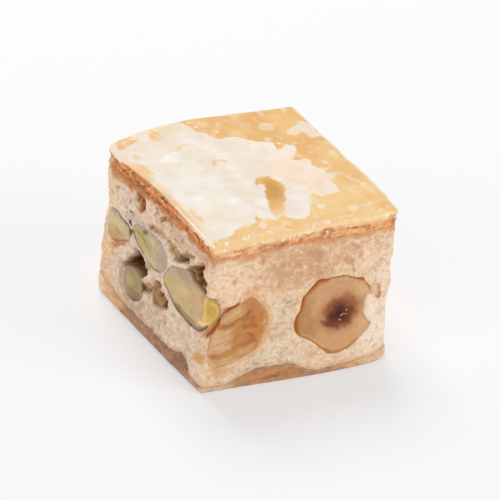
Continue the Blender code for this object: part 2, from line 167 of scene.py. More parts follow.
# The matt white patch of the top and the golden comma in it, as outlines of (right, back)
WHITE_PATCH = (
    (-0.3, 0.2), (0.6, 1.6), (1.0, 1.7), (3.0, 2.0), (4.2, 2.3), (5.2, 3.3), (7.0, 3.8), (9.0, 4.1),
    (9.3, 4.8), (9.6, 5.5), (10.2, 5.6), (10.6, 4.9), (11.8, 4.6), (12.3, 4.0), (13.0, 4.3), (13.8, 4.5),
    (14.5, 3.5), (15.5, 3.0), (17.0, 2.9), (17.3, 3.5), (18.0, 4.5), (19.0, 6.0), (19.8, 7.5), (20.7, 8.0),
    (21.5, 7.0), (22.5, 6.8), (24.4, 6.9), (24.7, 9.0), (24.8, 10.3), (25.8, 11.0), (26.5, 11.7),
    (25.6, 12.0), (25.2, 12.4), (25.6, 13.2), (24.8, 14.0), (24.6, 15.2), (24.9, 16.4), (24.5, 17.0),
    (23.2, 17.0), (22.8, 17.3), (24.5, 19.3), (25.0, 21.2), (24.0, 21.8), (22.8, 20.9), (22.2, 20.8),
    (22.5, 22.0), (22.8, 22.8), (21.5, 23.5), (20.2, 24.0), (19.5, 25.0), (18.8, 26.0), (17.5, 26.4),
    (15.8, 26.6), (15.3, 27.5), (14.7, 28.7), (13.6, 29.8), (13.2, 31.5), (12.6, 33.4), (12.6, 36.0),
    (-1.0, 36.0), (-1.0, 5.0),
)
COMMA = (
    (14.4, 13.2), (14.6, 14.0), (15.3, 14.6), (16.2, 14.8), (17.3, 14.4), (18.0, 13.5), (18.0, 12.0),
    (17.3, 10.0), (16.0, 8.0), (14.8, 6.2), (13.5, 4.8), (12.5, 4.4), (12.3, 5.6), (13.0, 7.5), (14.0, 9.8),
    (15.0, 11.7), (15.6, 12.9), (15.0, 13.5),
)

BLISTERS = 60
BLISTER_SEED = 5
RIM_ROUND = 0.25
RIM_ROUND_REACH = 0.9
RIM_SHADE = 0.25

# What the two sheets take of the height, how far each laps in at its seam, and the step along the wall
# that shows which way is outward
SHEETS = 3.0
SHEET_LAP = 1.2
OUTWARD_STEP = 0.15

# Mesh fineness
FINE_CELL = 0.15
COARSE_CELL = 0.3
TOP_CELLS = 226
RIM_ROWS = 20
BASE_ROWS = 22
NUT_ANGLES = 220
NUT_RINGS = 44
BOWL_RINGS = 8
FLAKE_ANGLES = 96
FLAKE_RINGS = 12
OUTLINE_STEPS = 180

# The share of light that each side gets, which turns screen colours into base colours, and the sheen on top
TOP_LIGHT = 1.18
FRONT_LIGHT = 0.93
SIDE_LIGHT = 0.80
LEFT_LIGHT = 0.82
SHEEN = 0.02
FILLING_SHEEN = 0.01
NUT_SHEEN = 0.042
HAZELNUT_SHEEN = 0.02
GLAZE_SHEEN = 0.034

# The stage: the floor's tone and glow, and each light's name, place, size and power, in metres and watts
FLOOR_HALF = 2.0
FLOOR_TONE = (0.40, 0.40, 0.405, 1.0)
FLOOR_GLOW = 0.475
WHITE_LIGHT = (1.0, 1.0, 1.0, 1.0)
SKY_LIGHT = 0.45
LIGHTS = (
    ("key", (0.05, 0.40, 0.62), 0.40, 3.6),
    ("fill", (0.45, -0.55, 0.35), 0.5, 2.4),
    ("left_fill", (-0.55, -0.20, 0.35), 0.5, 0.9),
)

# The camera, fitted to the photo's edges
CAMERA_AZIMUTH = -32.4
CAMERA_ELEVATION = 31.18
CAMERA_ROLL = 5.55
CAMERA_DISTANCE = 0.5
CAMERA_AIM = (0.36 * MM, -0.84 * MM, 11.69 * MM)
CAMERA_LENS = 251.3
CAMERA_SENSOR = 36.0


# Shape functions

def smooth_step(value):
    value = np.clip(value, 0.0, 1.0)
    return value * value * (3.0 - 2.0 * value)


def side_point(corners, bows, side, distance):
    """The point at this distance from the start of a side, on its slightly bowed line."""
    every = np.arange(len(distance))
    start = corners[side, every]
    end = corners[(side + 1) % 4, every]
    share = np.clip(distance / SIDE_LENGTHS[side], 0.0, 1.0)
    forward = (end - start) / np.linalg.norm(end - start, axis=1)[:, None]
    outward = np.stack([forward[:, 1], -forward[:, 0]], axis=1)
    bow = bows[side, every] * np.sin(np.pi * share**BOW_SKEW)
    return start + (end - start) * share[:, None] + outward * bow[:, None]


def plan_outline(along, up):
    """The plan position of each place on the walls, with the corners rounded."""
    along, up = np.broadcast_arrays(np.asarray(along, float) % PERIMETER, np.asarray(up, float))
    flat_along = along.ravel()
    flare = np.clip(1.0 - up.ravel() / HEIGHT, 0.0, 1.0) ** FLARE_POWER
    corners = TOP_CORNERS[:, None] + (FOOT_CORNERS - TOP_CORNERS)[:, None] * flare[None, :, None]
    roundings = TOP_ROUNDINGS[:, None] + (FOOT_ROUNDINGS - TOP_ROUNDINGS)[:, None] * flare
    bows = TOP_BOWS[:, None] + (FOOT_BOWS - TOP_BOWS)[:, None] * flare
    every = np.arange(len(flat_along))
    side = np.clip(np.searchsorted(SIDE_STARTS, flat_along, side="right") - 1, 0, 3)
    distance = flat_along - SIDE_STARTS[side]
    points = side_point(corners, bows, side, distance)
    for end in (0, 1):
        corner = (side + end) % 4
        before = (corner - 1) % 4
        rounding = roundings[corner, every]
        away = distance if end == 0 else SIDE_LENGTHS[side] - distance
        share = (rounding + away) / (2.0 * rounding) if end == 0 else (rounding - away) / (2.0 * rounding)
        share = share[:, None]
        entry = side_point(corners, bows, before, SIDE_LENGTHS[before] - rounding)
        leave = side_point(corners, bows, corner, rounding)
        arc = (1 - share) ** 2 * entry + 2 * share * (1 - share) * corners[corner, every] + share**2 * leave
        points = np.where((away < rounding)[:, None], arc, points)
    return points.reshape(along.shape + (2,))


def lowered(x, y, up):
    """The real height of a place, once the far left part has sunk."""
    back = (y - TOP_CORNERS[0, 1]) / SIDE_LENGTHS[1]
    right = (x - TOP_CORNERS[0, 0]) / SIDE_LENGTHS[0]
    backward = smooth_step((back - DROOP_BACK_FROM) / (1.0 - DROOP_BACK_FROM)) ** DROOP_SHAPE
    leftward = smooth_step((DROOP_LEFT_OF - right) / DROOP_LEFT_OF)
    return up - DROOP * backward * leftward * up / HEIGHT


def way_from(along, start):
    """The signed way round the piece from a place."""
    return (along - start + PERIMETER / 2) % PERIMETER - PERIMETER / 2


def bulge(along, up):
    """How far the wall stands out: it swells in places, and its foot and top edge are rounded."""
    swell = sum(
        height * np.exp(-((way_from(along, place[0]) / reach[0]) ** 2) - ((up - place[1]) / reach[1]) ** 2)
        for place, reach, height in SWELLS
    )
    foot = np.clip(1.0 - up / FOOT_EDGE[0], 0.0, 1.0) ** 2
    top = np.clip(1.0 - (HEIGHT - up) / TOP_EDGE[0], 0.0, 1.0) ** 2
    return swell - FOOT_EDGE[1] * foot - TOP_EDGE[1] * top


def wall_point(along, up, depth=0.0):
    """The point on the wall at (along, up), or this far inside it, in millimetres."""
    along, up, depth = np.broadcast_arrays(*(np.asarray(value, float) for value in (along, up, depth)))
    plan = plan_outline(along, up)
    forward = plan_outline(along + OUTWARD_STEP, up) - plan_outline(along - OUTWARD_STEP, up)
    forward /= np.linalg.norm(forward, axis=-1)[..., None]
    outward = np.stack([forward[..., 1], -forward[..., 0]], axis=-1)
    moved = plan + outward * (bulge(along, up) - depth)[..., None]
    height = lowered(plan[..., 0], plan[..., 1], up)
    return np.concatenate([moved, height[..., None]], axis=-1)


def lattice_noise(along, up, cell, seed):
    """Smooth seeded noise from -1 to 1, which repeats once round the piece."""
    columns = round(PERIMETER / cell)
    rows = round(2 * PERIMETER / cell)
    lattice = np.random.default_rng(seed).uniform(-1.0, 1.0, (rows, columns))
    across, level = np.broadcast_arrays(along / PERIMETER * columns, up / cell + rows / 2)
    column = np.floor(across).astype(int)
    row = np.floor(level).astype(int)
    right = smooth_step(across - column)
    above = smooth_step(level - row)
    levels = []
    for level_row in (row % rows, (row + 1) % rows):
        here = lattice[level_row, column % columns]
        beside = lattice[level_row, (column + 1) % columns]
        levels.append(here * (1 - right) + beside * right)
    return levels[0] * (1 - above) + levels[1] * above


def crags(along, up, layers):
    return sum(height * lattice_noise(along, up, cell, seed) for cell, height, seed in layers)


def seam(stations, along):
    """The height of a seam at each place round the piece."""
    places, heights = np.array(stations, float).T
    return np.interp(along % PERIMETER, places, heights, period=PERIMETER)


def radius_at(radii, angle):
    """The radius at an angle, on a smooth closed curve through the even radii."""
    radii = np.asarray(radii, float)
    place = angle / (2 * np.pi) * len(radii)
    index = np.floor(place).astype(int)
    share = place - index
    before, here, after, beyond = (radii[(index + shift) % len(radii)] for shift in (-1, 0, 1, 2))
    slope_here = (after - before) / 2
    slope_after = (beyond - here) / 2
    return (
        (2 * share**3 - 3 * share**2 + 1) * here
        + (share**3 - 2 * share**2 + share) * slope_here
        + (3 * share**2 - 2 * share**3) * after
        + (share**3 - share**2) * slope_after
    )


# Painting functions: ovals, lines and patches give a mask from 0 to 1 for every point

def path_distance(along, up, path):
    """The distance of each point from a path of straight pieces."""
    nearest = np.full(np.broadcast(along, up).shape, np.inf)
    for (first_along, first_up), (next_along, next_up) in zip(path, path[1:]):
        step = np.array([next_along - first_along, next_up - first_up])
        way = way_from(along, first_along)
        rise = up - first_up
        share = np.clip((way * step[0] + rise * step[1]) / (step @ step), 0.0, 1.0)
        nearest = np.minimum(nearest, np.hypot(way - share * step[0], rise - share * step[1]))
    return nearest


def inside_distance(along, up, outline):
    """The distance to a closed outline, positive inside it."""
    along = outline[0][0] + way_from(along, outline[0][0])
    closed = (*outline, outline[0])
    inside = np.zeros(np.broadcast(along, up).shape, bool)
    for (ax, ay), (bx, by) in zip(closed, closed[1:]):
        if ay != by:
            inside ^= ((ay > up) != (by > up)) & (along < (bx - ax) * (up - ay) / (by - ay) + ax)
    return np.where(inside, 1.0, -1.0) * path_distance(along, up, closed)


def oval(centre, half, tilt=0.0, soft=1.0):
    """A soft oval: its middle, half sizes, tilt in degrees, and the share of it that its edge takes."""
    cosine, sine = math.cos(math.radians(tilt)), math.sin(math.radians(tilt))

    def mask(along, up):
        way = way_from(along, centre[0])
        rise = up - centre[1]
        away = np.hypot((way * cosine + rise * sine) / half[0], (rise * cosine - way * sine) / half[1])
        return smooth_step((1.0 + soft / 2 - away) / soft)

    return mask


def line(width, *path, soft=0.8):
    """A soft line of this width along a path."""
    half = width / 2
    return lambda along, up: smooth_step(
        (half * (1 + soft) - path_distance(along, up, path)) / (2 * half * soft)
    )


def patch(*outline, soft=0.3):
    """A closed outline with a soft edge."""
    return lambda along, up: smooth_step(inside_distance(along, up, outline) / soft + 0.5)


def over(colour, tone, mask):
    """The colour, 0 to 255, with this tone laid over it where the mask is 1."""
    return colour + (np.array(tone, float) - colour) * np.asarray(mask)[..., None]


def wandering(along, up, wander, seed):
    """Moves points a little at random, so that what is painted or pressed there gets a hand-made edge."""
    moved = []
    for value, own_seed in ((along, seed), (up, seed + 1)):
        shift = lattice_noise(along, up, 0.9, own_seed) + 0.6 * lattice_noise(along, up, 0.4, own_seed + 2)
        moved.append(value + wander * shift)
    return moved


def painted(colour, along, up, strokes, wander=0.15, seed=200):
    """Lays the strokes over the colour, one after another: each is a tone, its strength and its shape."""
    moved_along, moved_up = wandering(along, up, wander, seed)
    for tone, strength, shape in strokes:
        colour = over(colour, tone, strength * shape(moved_along, moved_up))
    return colour


def strongest(along, up, table):
    """The strongest of a table of marks, each a strength and its shape."""
    return np.max([strength * shape(along, up) for strength, shape in table], axis=0)


def plain(tone, shape):
    """One tone for every point."""
    return np.broadcast_to(np.array(tone, float), (*shape, 3))


def crumbled(colour, along, up, tones, seed, cells=(0.5, 0.28)):
    """Fine crumbs: the first tone in the low grains and the second in the high ones."""
    grain = lattice_noise(along, up, cells[0], seed) + 0.7 * lattice_noise(along, up, cells[1], seed + 1)
    (low_tone, low_share), (high_tone, high_share) = tones
    colour = over(colour, low_tone, low_share * smooth_step((-grain - 0.15) / 0.6))
    return over(colour, high_tone, high_share * smooth_step((grain - 0.15) / 0.6))


def wall_light(along):
    """The share of light of each side, which changes over at the corners."""
    # Each side's light holds from its first place to its second
    ends = (0.2, 29.5, 31.0, 61.5, 62.5, 91.5, 92.5, 123.8)
    lights = np.repeat((FRONT_LIGHT, SIDE_LIGHT, SIDE_LIGHT, LEFT_LIGHT), 2)
    return np.interp(along % PERIMETER, ends, lights, period=PERIMETER)


def on_left(along):
    """1 on the left side, 0 on the others."""
    way = way_from(along, 0.0)
    return smooth_step((0.4 - way) / 1.2) * smooth_step((way + 33.0) / 1.5)


def nut_radii(name):
    """The nut's radii: as the solid's, or at finer steps from its drawn outline."""
    if name in NUT_RADII:
        return np.array(NUT_RADII[name])
    outline = np.array(NUT_OUTLINES[name]) - NUTS[name][0]
    angle = np.arange(OUTLINE_STEPS) * 2 * np.pi / OUTLINE_STEPS
    ray = np.stack([np.cos(angle), np.sin(angle)], axis=1)
    found = np.zeros(OUTLINE_STEPS)
    for start, end in zip(outline, np.roll(outline, -1, axis=0)):
        step = end - start
        turn = ray[:, 0] * step[1] - ray[:, 1] * step[0]
        turn = np.where(np.abs(turn) < 1e-9, 1e-9, turn)
        reach = (start[0] * step[1] - start[1] * step[0]) / turn
        share = (start[0] * ray[:, 1] - start[1] * ray[:, 0]) / turn
        crosses = (reach > 0) & (share >= -1e-6) & (share <= 1 + 1e-6)
        found = np.where(crosses, np.maximum(found, reach), found)
    return (np.roll(found, 1) + 2 * found + np.roll(found, -1)) / 4


def nut_inside(along, up, centre, radii):
    """How far each point lies inside a nut's outline, negative outside."""
    way = way_from(along, centre[0])
    rise = up - centre[1]
    angle = np.arctan2(rise, way) % (2 * np.pi)
    return radius_at(radii, angle) - np.hypot(way, rise)


# Mesh building

def grid_quads(rows, columns, wrap, offset=0):
    """The faces of a grid of points, joined round from the last column to the first if it wraps."""
    index = np.arange(rows * columns).reshape(rows, columns) + offset
    if wrap:
        index = np.concatenate([index, index[:, :1]], axis=1)
    quads = np.stack([index[:-1, :-1], index[:-1, 1:], index[1:, 1:], index[1:, :-1]], axis=-1)
    return quads.reshape(-1, 4)


def ring_quads(rings):
    """The faces between rings of point numbers, each ring inside or below the one before it."""
    wrapped = np.concatenate([rings, rings[:, :1]], axis=1)
    corners = [wrapped[1:, :-1], wrapped[1:, 1:], wrapped[:-1, 1:], wrapped[:-1, :-1]]
    return np.stack(corners, axis=-1).reshape(-1, 4)


def fan(ring, centre, turned=False):
    """Triangles from a ring of point numbers to one point."""
    following = np.roll(ring, -1)
    middle = np.full(len(ring), centre)
    pair = (following, ring) if turned else (ring, following)
    return np.stack([*pair, middle], axis=1)


def base_colour(screen, light, sheen=SHEEN):
    """The base colour that looks like this screen colour, 0 to 255, under this share of light."""
    channels = np.clip(screen, 0, 255) / 255.0
    values = np.where(channels <= 0.04045, channels / 12.92, ((channels + 0.055) / 1.055) ** 2.4)
    return np.clip((values - sheen) / np.asarray(light)[..., None], 0.004, 0.93)


def add_piece(name, points, faces, paint, gloss, material, node):
    """Makes a smooth painted mesh from points in millimetres, and lets it stand for its CAD node."""
    mesh = bpy.data.meshes.new(name)
    mesh.from_pydata((points * MM).tolist(), [], [face for part in faces for face in part.tolist()])
    mesh.polygons.foreach_set("use_smooth", np.ones(len(mesh.polygons), bool))
    colours = mesh.attributes.new("paint", "FLOAT_COLOR", "POINT")
    opaque = np.append(paint, np.ones((len(paint), 1)), axis=1)
    colours.data.foreach_set("color", opaque.astype(np.float32).ravel())
    shine = mesh.attributes.new("gloss", "FLOAT", "POINT")
    shine.data.foreach_set("value", np.clip(gloss, 0, 1).astype(np.float32))
    mesh.materials.append(material)
    mesh.update()
    piece = bpy.data.objects.new(name, mesh)
    bpy.context.scene.collection.objects.link(piece)
    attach(piece, "root")
    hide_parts(node)
    return piece


def wall_columns():
    """Places round the piece, closer together on the two sides that the photo shows."""
    cells = (FINE_CELL, COARSE_CELL, COARSE_CELL, FINE_CELL)
    counts = [round(length / cell) for length, cell in zip(SIDE_LENGTHS, cells)]
    return np.concatenate([
        start + np.arange(count) * length / count
        for start, length, count in zip(SIDE_STARTS, SIDE_LENGTHS, counts)
    ])


# Materials

def add_node(tree, kind, links=(), values=(), **settings):
    """A node with its settings, its values and what is linked into it."""
    node = tree.nodes.new(kind)
    for key, value in settings.items():
        setattr(node, key, value)
    for key, value in values:
        node.inputs[key].default_value = value
    for key, socket in links:
        tree.links.new(socket, node.inputs[key])
    return node


def noise(tree, size_mm, detail=3.0, stretch=(1.0, 1.0, 1.0)):
    """Noise from 0 to 1 whose features are about this many millimetres across."""
    place = add_node(tree, "ShaderNodeTexCoord")
    mapping = add_node(tree, "ShaderNodeMapping", [("Vector", place.outputs["Object"])], [("Scale", stretch)])
    texture = add_node(
        tree, "ShaderNodeTexNoise", [("Vector", mapping.outputs["Vector"])],
        [("Scale", 1.0 / (size_mm * MM)), ("Detail", detail), ("Roughness", 0.55)],
    )
    return texture.outputs["Fac"]


def ranged(tree, socket, before, after=(0.0, 1.0)):
    """Turns values between the first two numbers into values between the last two, smoothly."""
    ends = [("From Min", before[0]), ("From Max", before[1]), ("To Min", after[0]), ("To Max", after[1])]
    node = add_node(tree, "ShaderNodeMapRange", [("Value", socket)], ends, interpolation_type="SMOOTHSTEP")
    return node.outputs["Result"]


def tinted(tree, colour, mask, tint):
    """The colour multiplied by a tint where the mask is 1. A tint over 1 lightens."""
    node = add_node(tree, "ShaderNodeMix", data_type="RGBA", blend_type="MULTIPLY", clamp_result=False)
    tree.links.new(mask, node.inputs[0])
    tree.links.new(colour, node.inputs[6])
    node.inputs[7].default_value = (*tint, 1.0)
    return node.outputs[2]


def food_material(name, mottles, bumps, roughness, coat=0.0, soft=0.1, radius_mm=0.8, mirror=0.5):
    """A painted food. Each mottle is a size in mm, stretch, noise range, strength and tint, and each bump a
    size in mm, stretch and depth in mm. The roughness is given where the gloss is 0 and where it is 1."""
    material = bpy.data.materials.new(name)
    material.use_nodes = True
    tree = material.node_tree
    shader = tree.nodes["Principled BSDF"]
    colour = add_node(tree, "ShaderNodeAttribute", attribute_name="paint").outputs["Color"]
    for size, stretch, noise_range, strength, tint in mottles:
        spots = ranged(tree, noise(tree, size, 3.0, stretch), noise_range, (0.0, strength))
        colour = tinted(tree, colour, spots, tint)
    tree.links.new(colour, shader.inputs["Base Color"])
    gloss = add_node(tree, "ShaderNodeAttribute", attribute_name="gloss").outputs["Fac"]
    tree.links.new(ranged(tree, gloss, (0.0, 1.0), roughness), shader.inputs["Roughness"])
    shader.inputs["Specular IOR Level"].default_value = mirror
    shader.inputs["Coat Weight"].default_value = coat
    shader.inputs["Coat Roughness"].default_value = 0.15
    shader.inputs["Subsurface Weight"].default_value = soft
    shader.inputs["Subsurface Radius"].default_value = (1.0, 0.55, 0.3)
    shader.inputs["Subsurface Scale"].default_value = radius_mm * MM
    normal = None
    for size, stretch, depth in bumps:
        height = noise(tree, size, 3.0, stretch)
        bump = add_node(tree, "ShaderNodeBump", [("Height", height)], [("Distance", depth * MM)])
        if normal:
            tree.links.new(normal, bump.inputs["Normal"])
        normal = bump.outputs["Normal"]
    tree.links.new(normal, shader.inputs["Normal"])
    return material


EVEN = (1.0, 1.0, 1.0)


def filling_material():
    return food_material(
        "crumbly_filling",
        [
            (0.35, EVEN, (0.50, 0.68), 0.75, (0.88, 0.78, 0.68)),
            (0.5, EVEN, (0.50, 0.66), 0.85, (1.07, 1.12, 1.17)),
            (0.2, EVEN, (0.52, 0.64), 0.55, (0.90, 0.84, 0.78)),
            (0.24, EVEN, (0.55, 0.66), 0.8, (1.08, 1.12, 1.16)),
            (1.7, EVEN, (0.5, 0.7), 0.55, (0.95, 0.90, 0.86)),
        ],
        [(0.35, EVEN, 0.13), (0.9, EVEN, 0.08)], (0.62, 0.3), soft=0.12, mirror=0.25,
    )


def golden_material():
    return food_material(
        "golden_sheet",
        [
            (0.5, EVEN, (0.52, 0.74), 0.35, (1.03, 1.07, 1.14)),
            (1.6, EVEN, (0.50, 0.70), 0.35, (0.97, 0.93, 0.85)),
        ],
        [(0.4, EVEN, 0.02), (1.4, EVEN, 0.05)], (0.75, 0.25), coat=0.25, soft=0.1,
    )


def base_sheet_material():
    streaked = (1.0, 1.0, 1.3)
    return food_material(
        "brown_sheet",
        [
            (1.1, streaked, (0.48, 0.68), 0.55, (0.88, 0.80, 0.72)),
            (0.4, streaked, (0.52, 0.7), 0.7, (1.10, 1.13, 1.15)),
        ],
        [(0.35, streaked, 0.10)], (0.5, 0.3), coat=0.15, soft=0.08, radius_mm=0.6,
    )


def pistachio_material():
    return food_material(
        "cut_pistachio",
        [
            (0.8, EVEN, (0.50, 0.70), 0.35, (0.94, 0.92, 0.88)),
            (0.35, EVEN, (0.54, 0.72), 0.35, (0.93, 0.90, 0.86)),
        ],
        [(0.5, EVEN, 0.05)], (0.42, 0.3), coat=0.1, soft=0.15, radius_mm=1.0,
    )


def hazelnut_material():
    return food_material(
        "cut_hazelnut",
        [
            (1.2, EVEN, (0.50, 0.70), 0.3, (0.95, 0.92, 0.88)),
            (0.3, EVEN, (0.55, 0.72), 0.3, (0.94, 0.90, 0.86)),
        ],
        [(0.5, EVEN, 0.04)], (0.45, 0.28), soft=0.15, radius_mm=1.2, mirror=0.2,
    )


def skin_material():
    return food_material(
        "nut_skin", [(0.8, EVEN, (0.45, 0.70), 0.6, (0.86, 0.72, 0.55))], [(0.3, EVEN, 0.04)], (0.35, 0.2),
        coat=0.3, radius_mm=0.5,
    )


# The filling

CREVICE = ((0.4, 9.6), (1.0, 10.1), (1.6, 11.0), (2.0, 12.0), (2.6, 12.9), (3.6, 13.4), (4.8, 13.9))
CAVITY = (
    (-23.8, 8.2), (-22.5, 9.7), (-21.5, 10.3), (-21.0, 11.2), (-20.8, 12.0), (-20.0, 12.5), (-19.0, 12.3),
    (-18.0, 12.0), (-17.9, 11.5), (-17.6, 10.6), (-16.8, 10.4), (-16.6, 10.1), (-17.2, 9.7), (-17.9, 9.2),
    (-18.6, 8.6), (-22.0, 8.4),
)
OLIVE_HOLLOW = (
    (-12.3, 18.3), (-11.5, 18.7), (-10.3, 18.6), (-8.6, 18.4), (-7.4, 18.2), (-7.9, 17.4), (-8.9, 16.9),
    (-10.2, 16.7), (-11.2, 17.0), (-11.0, 17.7),
)
DARK_HOLLOW = (
    (-6.0, 17.3), (-5.0, 17.8), (-3.8, 18.4), (-2.8, 19.0), (-2.1, 18.5), (-1.4, 17.6), (-0.9, 16.7),
    (-1.1, 16.0), (-2.2, 15.9), (-3.4, 16.0), (-4.4, 16.5), (-5.4, 16.9),
)
BROWN_PATCH = (
    (-21.0, 21.2), (-20.2, 21.9), (-18.9, 22.0), (-18.4, 21.0), (-18.5, 20.2), (-18.6, 19.4), (-19.1, 18.8),
    (-20.0, 18.9), (-20.2, 19.8), (-21.1, 20.3),
)
UPPER_CREVICE = ((-8.5, 17.1), (-7.7, 17.5), (-6.9, 18.0), (-6.1, 18.3))
DIAGONAL_CREVICE = ((-6.0, 17.3), (-5.0, 17.6), (-4.2, 18.0), (-3.4, 18.6), (-2.7, 19.2), (-2.4, 19.7))
WHITE_SKIN = (
    (-11.0, 15.7), (-10.2, 15.8), (-9.3, 16.0), (-8.5, 16.4), (-7.7, 16.8), (-7.0, 17.15), (-6.2, 17.5),
)
LILAC_SKIN = (
    (-22.4, 16.6), (-20.9, 17.1), (-19.0, 17.5), (-17.4, 17.6), (-15.4, 17.6), (-13.4, 17.5), (-12.2, 17.0),
)
SIDE_SKIN = (
    (-22.3, 16.2), (-22.0, 15.0), (-21.4, 14.0), (-20.6, 13.3), (-19.6, 12.9), (-18.6, 12.6), (-17.8, 12.1),
)
BETWEEN_SKIN = ((-12.4, 16.6), (-11.4, 15.6), (-11.4, 14.4), (-12.3, 13.0), (-13.0, 12.2))
PALE_RIDGE = ((-17.0, 21.3), (-16.8, 19.6), (-17.6, 18.4))

# What is pressed into the filling or stands out of it: how deep, and where
PRESSED = (
    (0.4, line(0.6, *CREVICE)), (2.6, patch(*CAVITY, soft=0.8)), (0.55, patch(*OLIVE_HOLLOW, soft=1.0)),
    (1.3, patch(*DARK_HOLLOW, soft=0.7)), (0.45, patch(*BROWN_PATCH, soft=1.2)),
    (0.9, line(0.6, *UPPER_CREVICE)), (1.0, line(0.75, *DIAGONAL_CREVICE)),
    (1.1, oval((-13.4, 10.2), (1.0, 0.7), 30, 0.9)), (1.1, oval((-12.0, 8.8), (1.5, 0.8), -12, 0.9)),
    (0.6, line(1.2, (-17.1, 7.6), (-15.5, 8.4), (-13.6, 9.4))),
    (0.4, oval((-1.6, 17.5), (0.7, 0.7), -20)), (0.35, oval((-22.0, 14.4), (0.5, 0.5), 0, 0.9)),
    (0.25, line(0.6, (-13.5, 20.9), (-12.3, 21.5), (-10.6, 22.0))),
    (0.25, line(0.8, (-16.2, 18.0), (-12.8, 18.5))), (-0.35, line(0.6, *WHITE_SKIN)),
    (-0.16, line(0.7, *LILAC_SKIN)), (-0.14, line(0.6, *SIDE_SKIN)), (-0.12, line(0.6, *BETWEEN_SKIN)),
    (-0.25, line(1.0, *PALE_RIDGE)), (0.12, line(0.4, (20.8, 17.8), (23.0, 16.6))),
    (0.14, line(0.35, (22.8, 19.8), (24.0, 18.9))), (0.12, oval((16.6, 19.6), (1.4, 0.3), -25)),
)

FRONT_PASTE = (234, 202, 168)
LEFT_PASTE = (222, 200, 178)
FRONT_CLOUD = (210, 166, 128)
LEFT_CLOUD = (208, 181, 158)
LOW_GRAIN = (196, 152, 118)
HIGH_GRAIN = (242, 220, 196)
LEFT_GRAIN = (176, 138, 110)
SUGAR_FLECK = (246, 232, 214)
DARKER_ABOVE_BASE = (188, 148, 116)
SHADED_PIT = (178, 138, 108)
TOASTED = (212, 148, 100)
DARK_TOASTED = (170, 108, 66)
SHADED_LOOSE_CRUMB = (102, 56, 20)
LIT_LOOSE_CRUMB = (220, 172, 110)
FLAKE = (244, 219, 194)
LOW_FLAKE_GRAIN = (236, 206, 176)
HIGH_FLAKE_GRAIN = (249, 232, 214)

# The broad tones of the filling, and then its marks
PASTE_AREAS = (
    ((208, 163, 124), 0.9, oval((13.8, 18.4), (7.5, 3.0), -4, 1.4)),
    ((240, 210, 176), 0.75, oval((4.4, 18.6), (4.0, 2.6), 0, 1.4)),
    ((233, 200, 169), 0.85, oval((27.5, 17.0), (3.2, 4.5), 0, 1.4)),
    ((237, 214, 190), 0.85, oval((28.6, 11.0), (2.0, 7.0), 0, 1.2)),
    ((238, 224, 206), 0.95, oval((27.8, 4.4), (3.8, 3.0), 0, 1.2)),
    ((221, 198, 171), 0.85, oval((11.8, 10.0), (2.0, 3.8), -8, 1.4)),
    ((226, 206, 177), 0.95, oval((11.5, 4.8), (4.8, 2.4), -6, 1.4)),
    ((227, 199, 170), 0.85, oval((3.0, 2.2), (3.4, 1.5), 0, 1.3)),
    ((224, 190, 160), 0.6, oval((-1.2, 19.5), (2.0, 2.6), 0, 1.4)),
    # lighter towards the far-left corner: the paste's tone with painted light, where the rounded corner
    # catches light from behind
    ((240, 206, 172), 0.95, oval((-29.0, 18.0), (3.2, 6.0), 0, 1.3)),
    ((228, 188, 146), 0.9, oval((-29.2, 6.5), (2.2, 4.2), 10, 1.3)),
    ((240, 198, 148), 0.8, oval((-28.6, 8.4), (1.3, 1.3), 20, 1.4)),
    ((218, 194, 173), 0.8, oval((-24.0, 18.8), (2.8, 1.8), 0, 1.5)),
    ((214, 186, 168), 0.5, oval((-26.0, 5.5), (3.0, 2.6), 0, 1.4)),
    ((214, 196, 168), 0.7, oval((-8.0, 7.5), (4.4, 1.4), 8, 1.3)),
    ((198, 170, 146), 0.6, oval((-14.0, 5.0), (5.0, 1.6), 0, 1.4)),
    ((224, 192, 162), 0.6, oval((-1.2, 8.0), (2.0, 1.4), 0, 1.4)),
    ((192, 156, 128), 0.5, oval((-10.5, 20.3), (4.5, 1.4), 6, 1.4)),
)
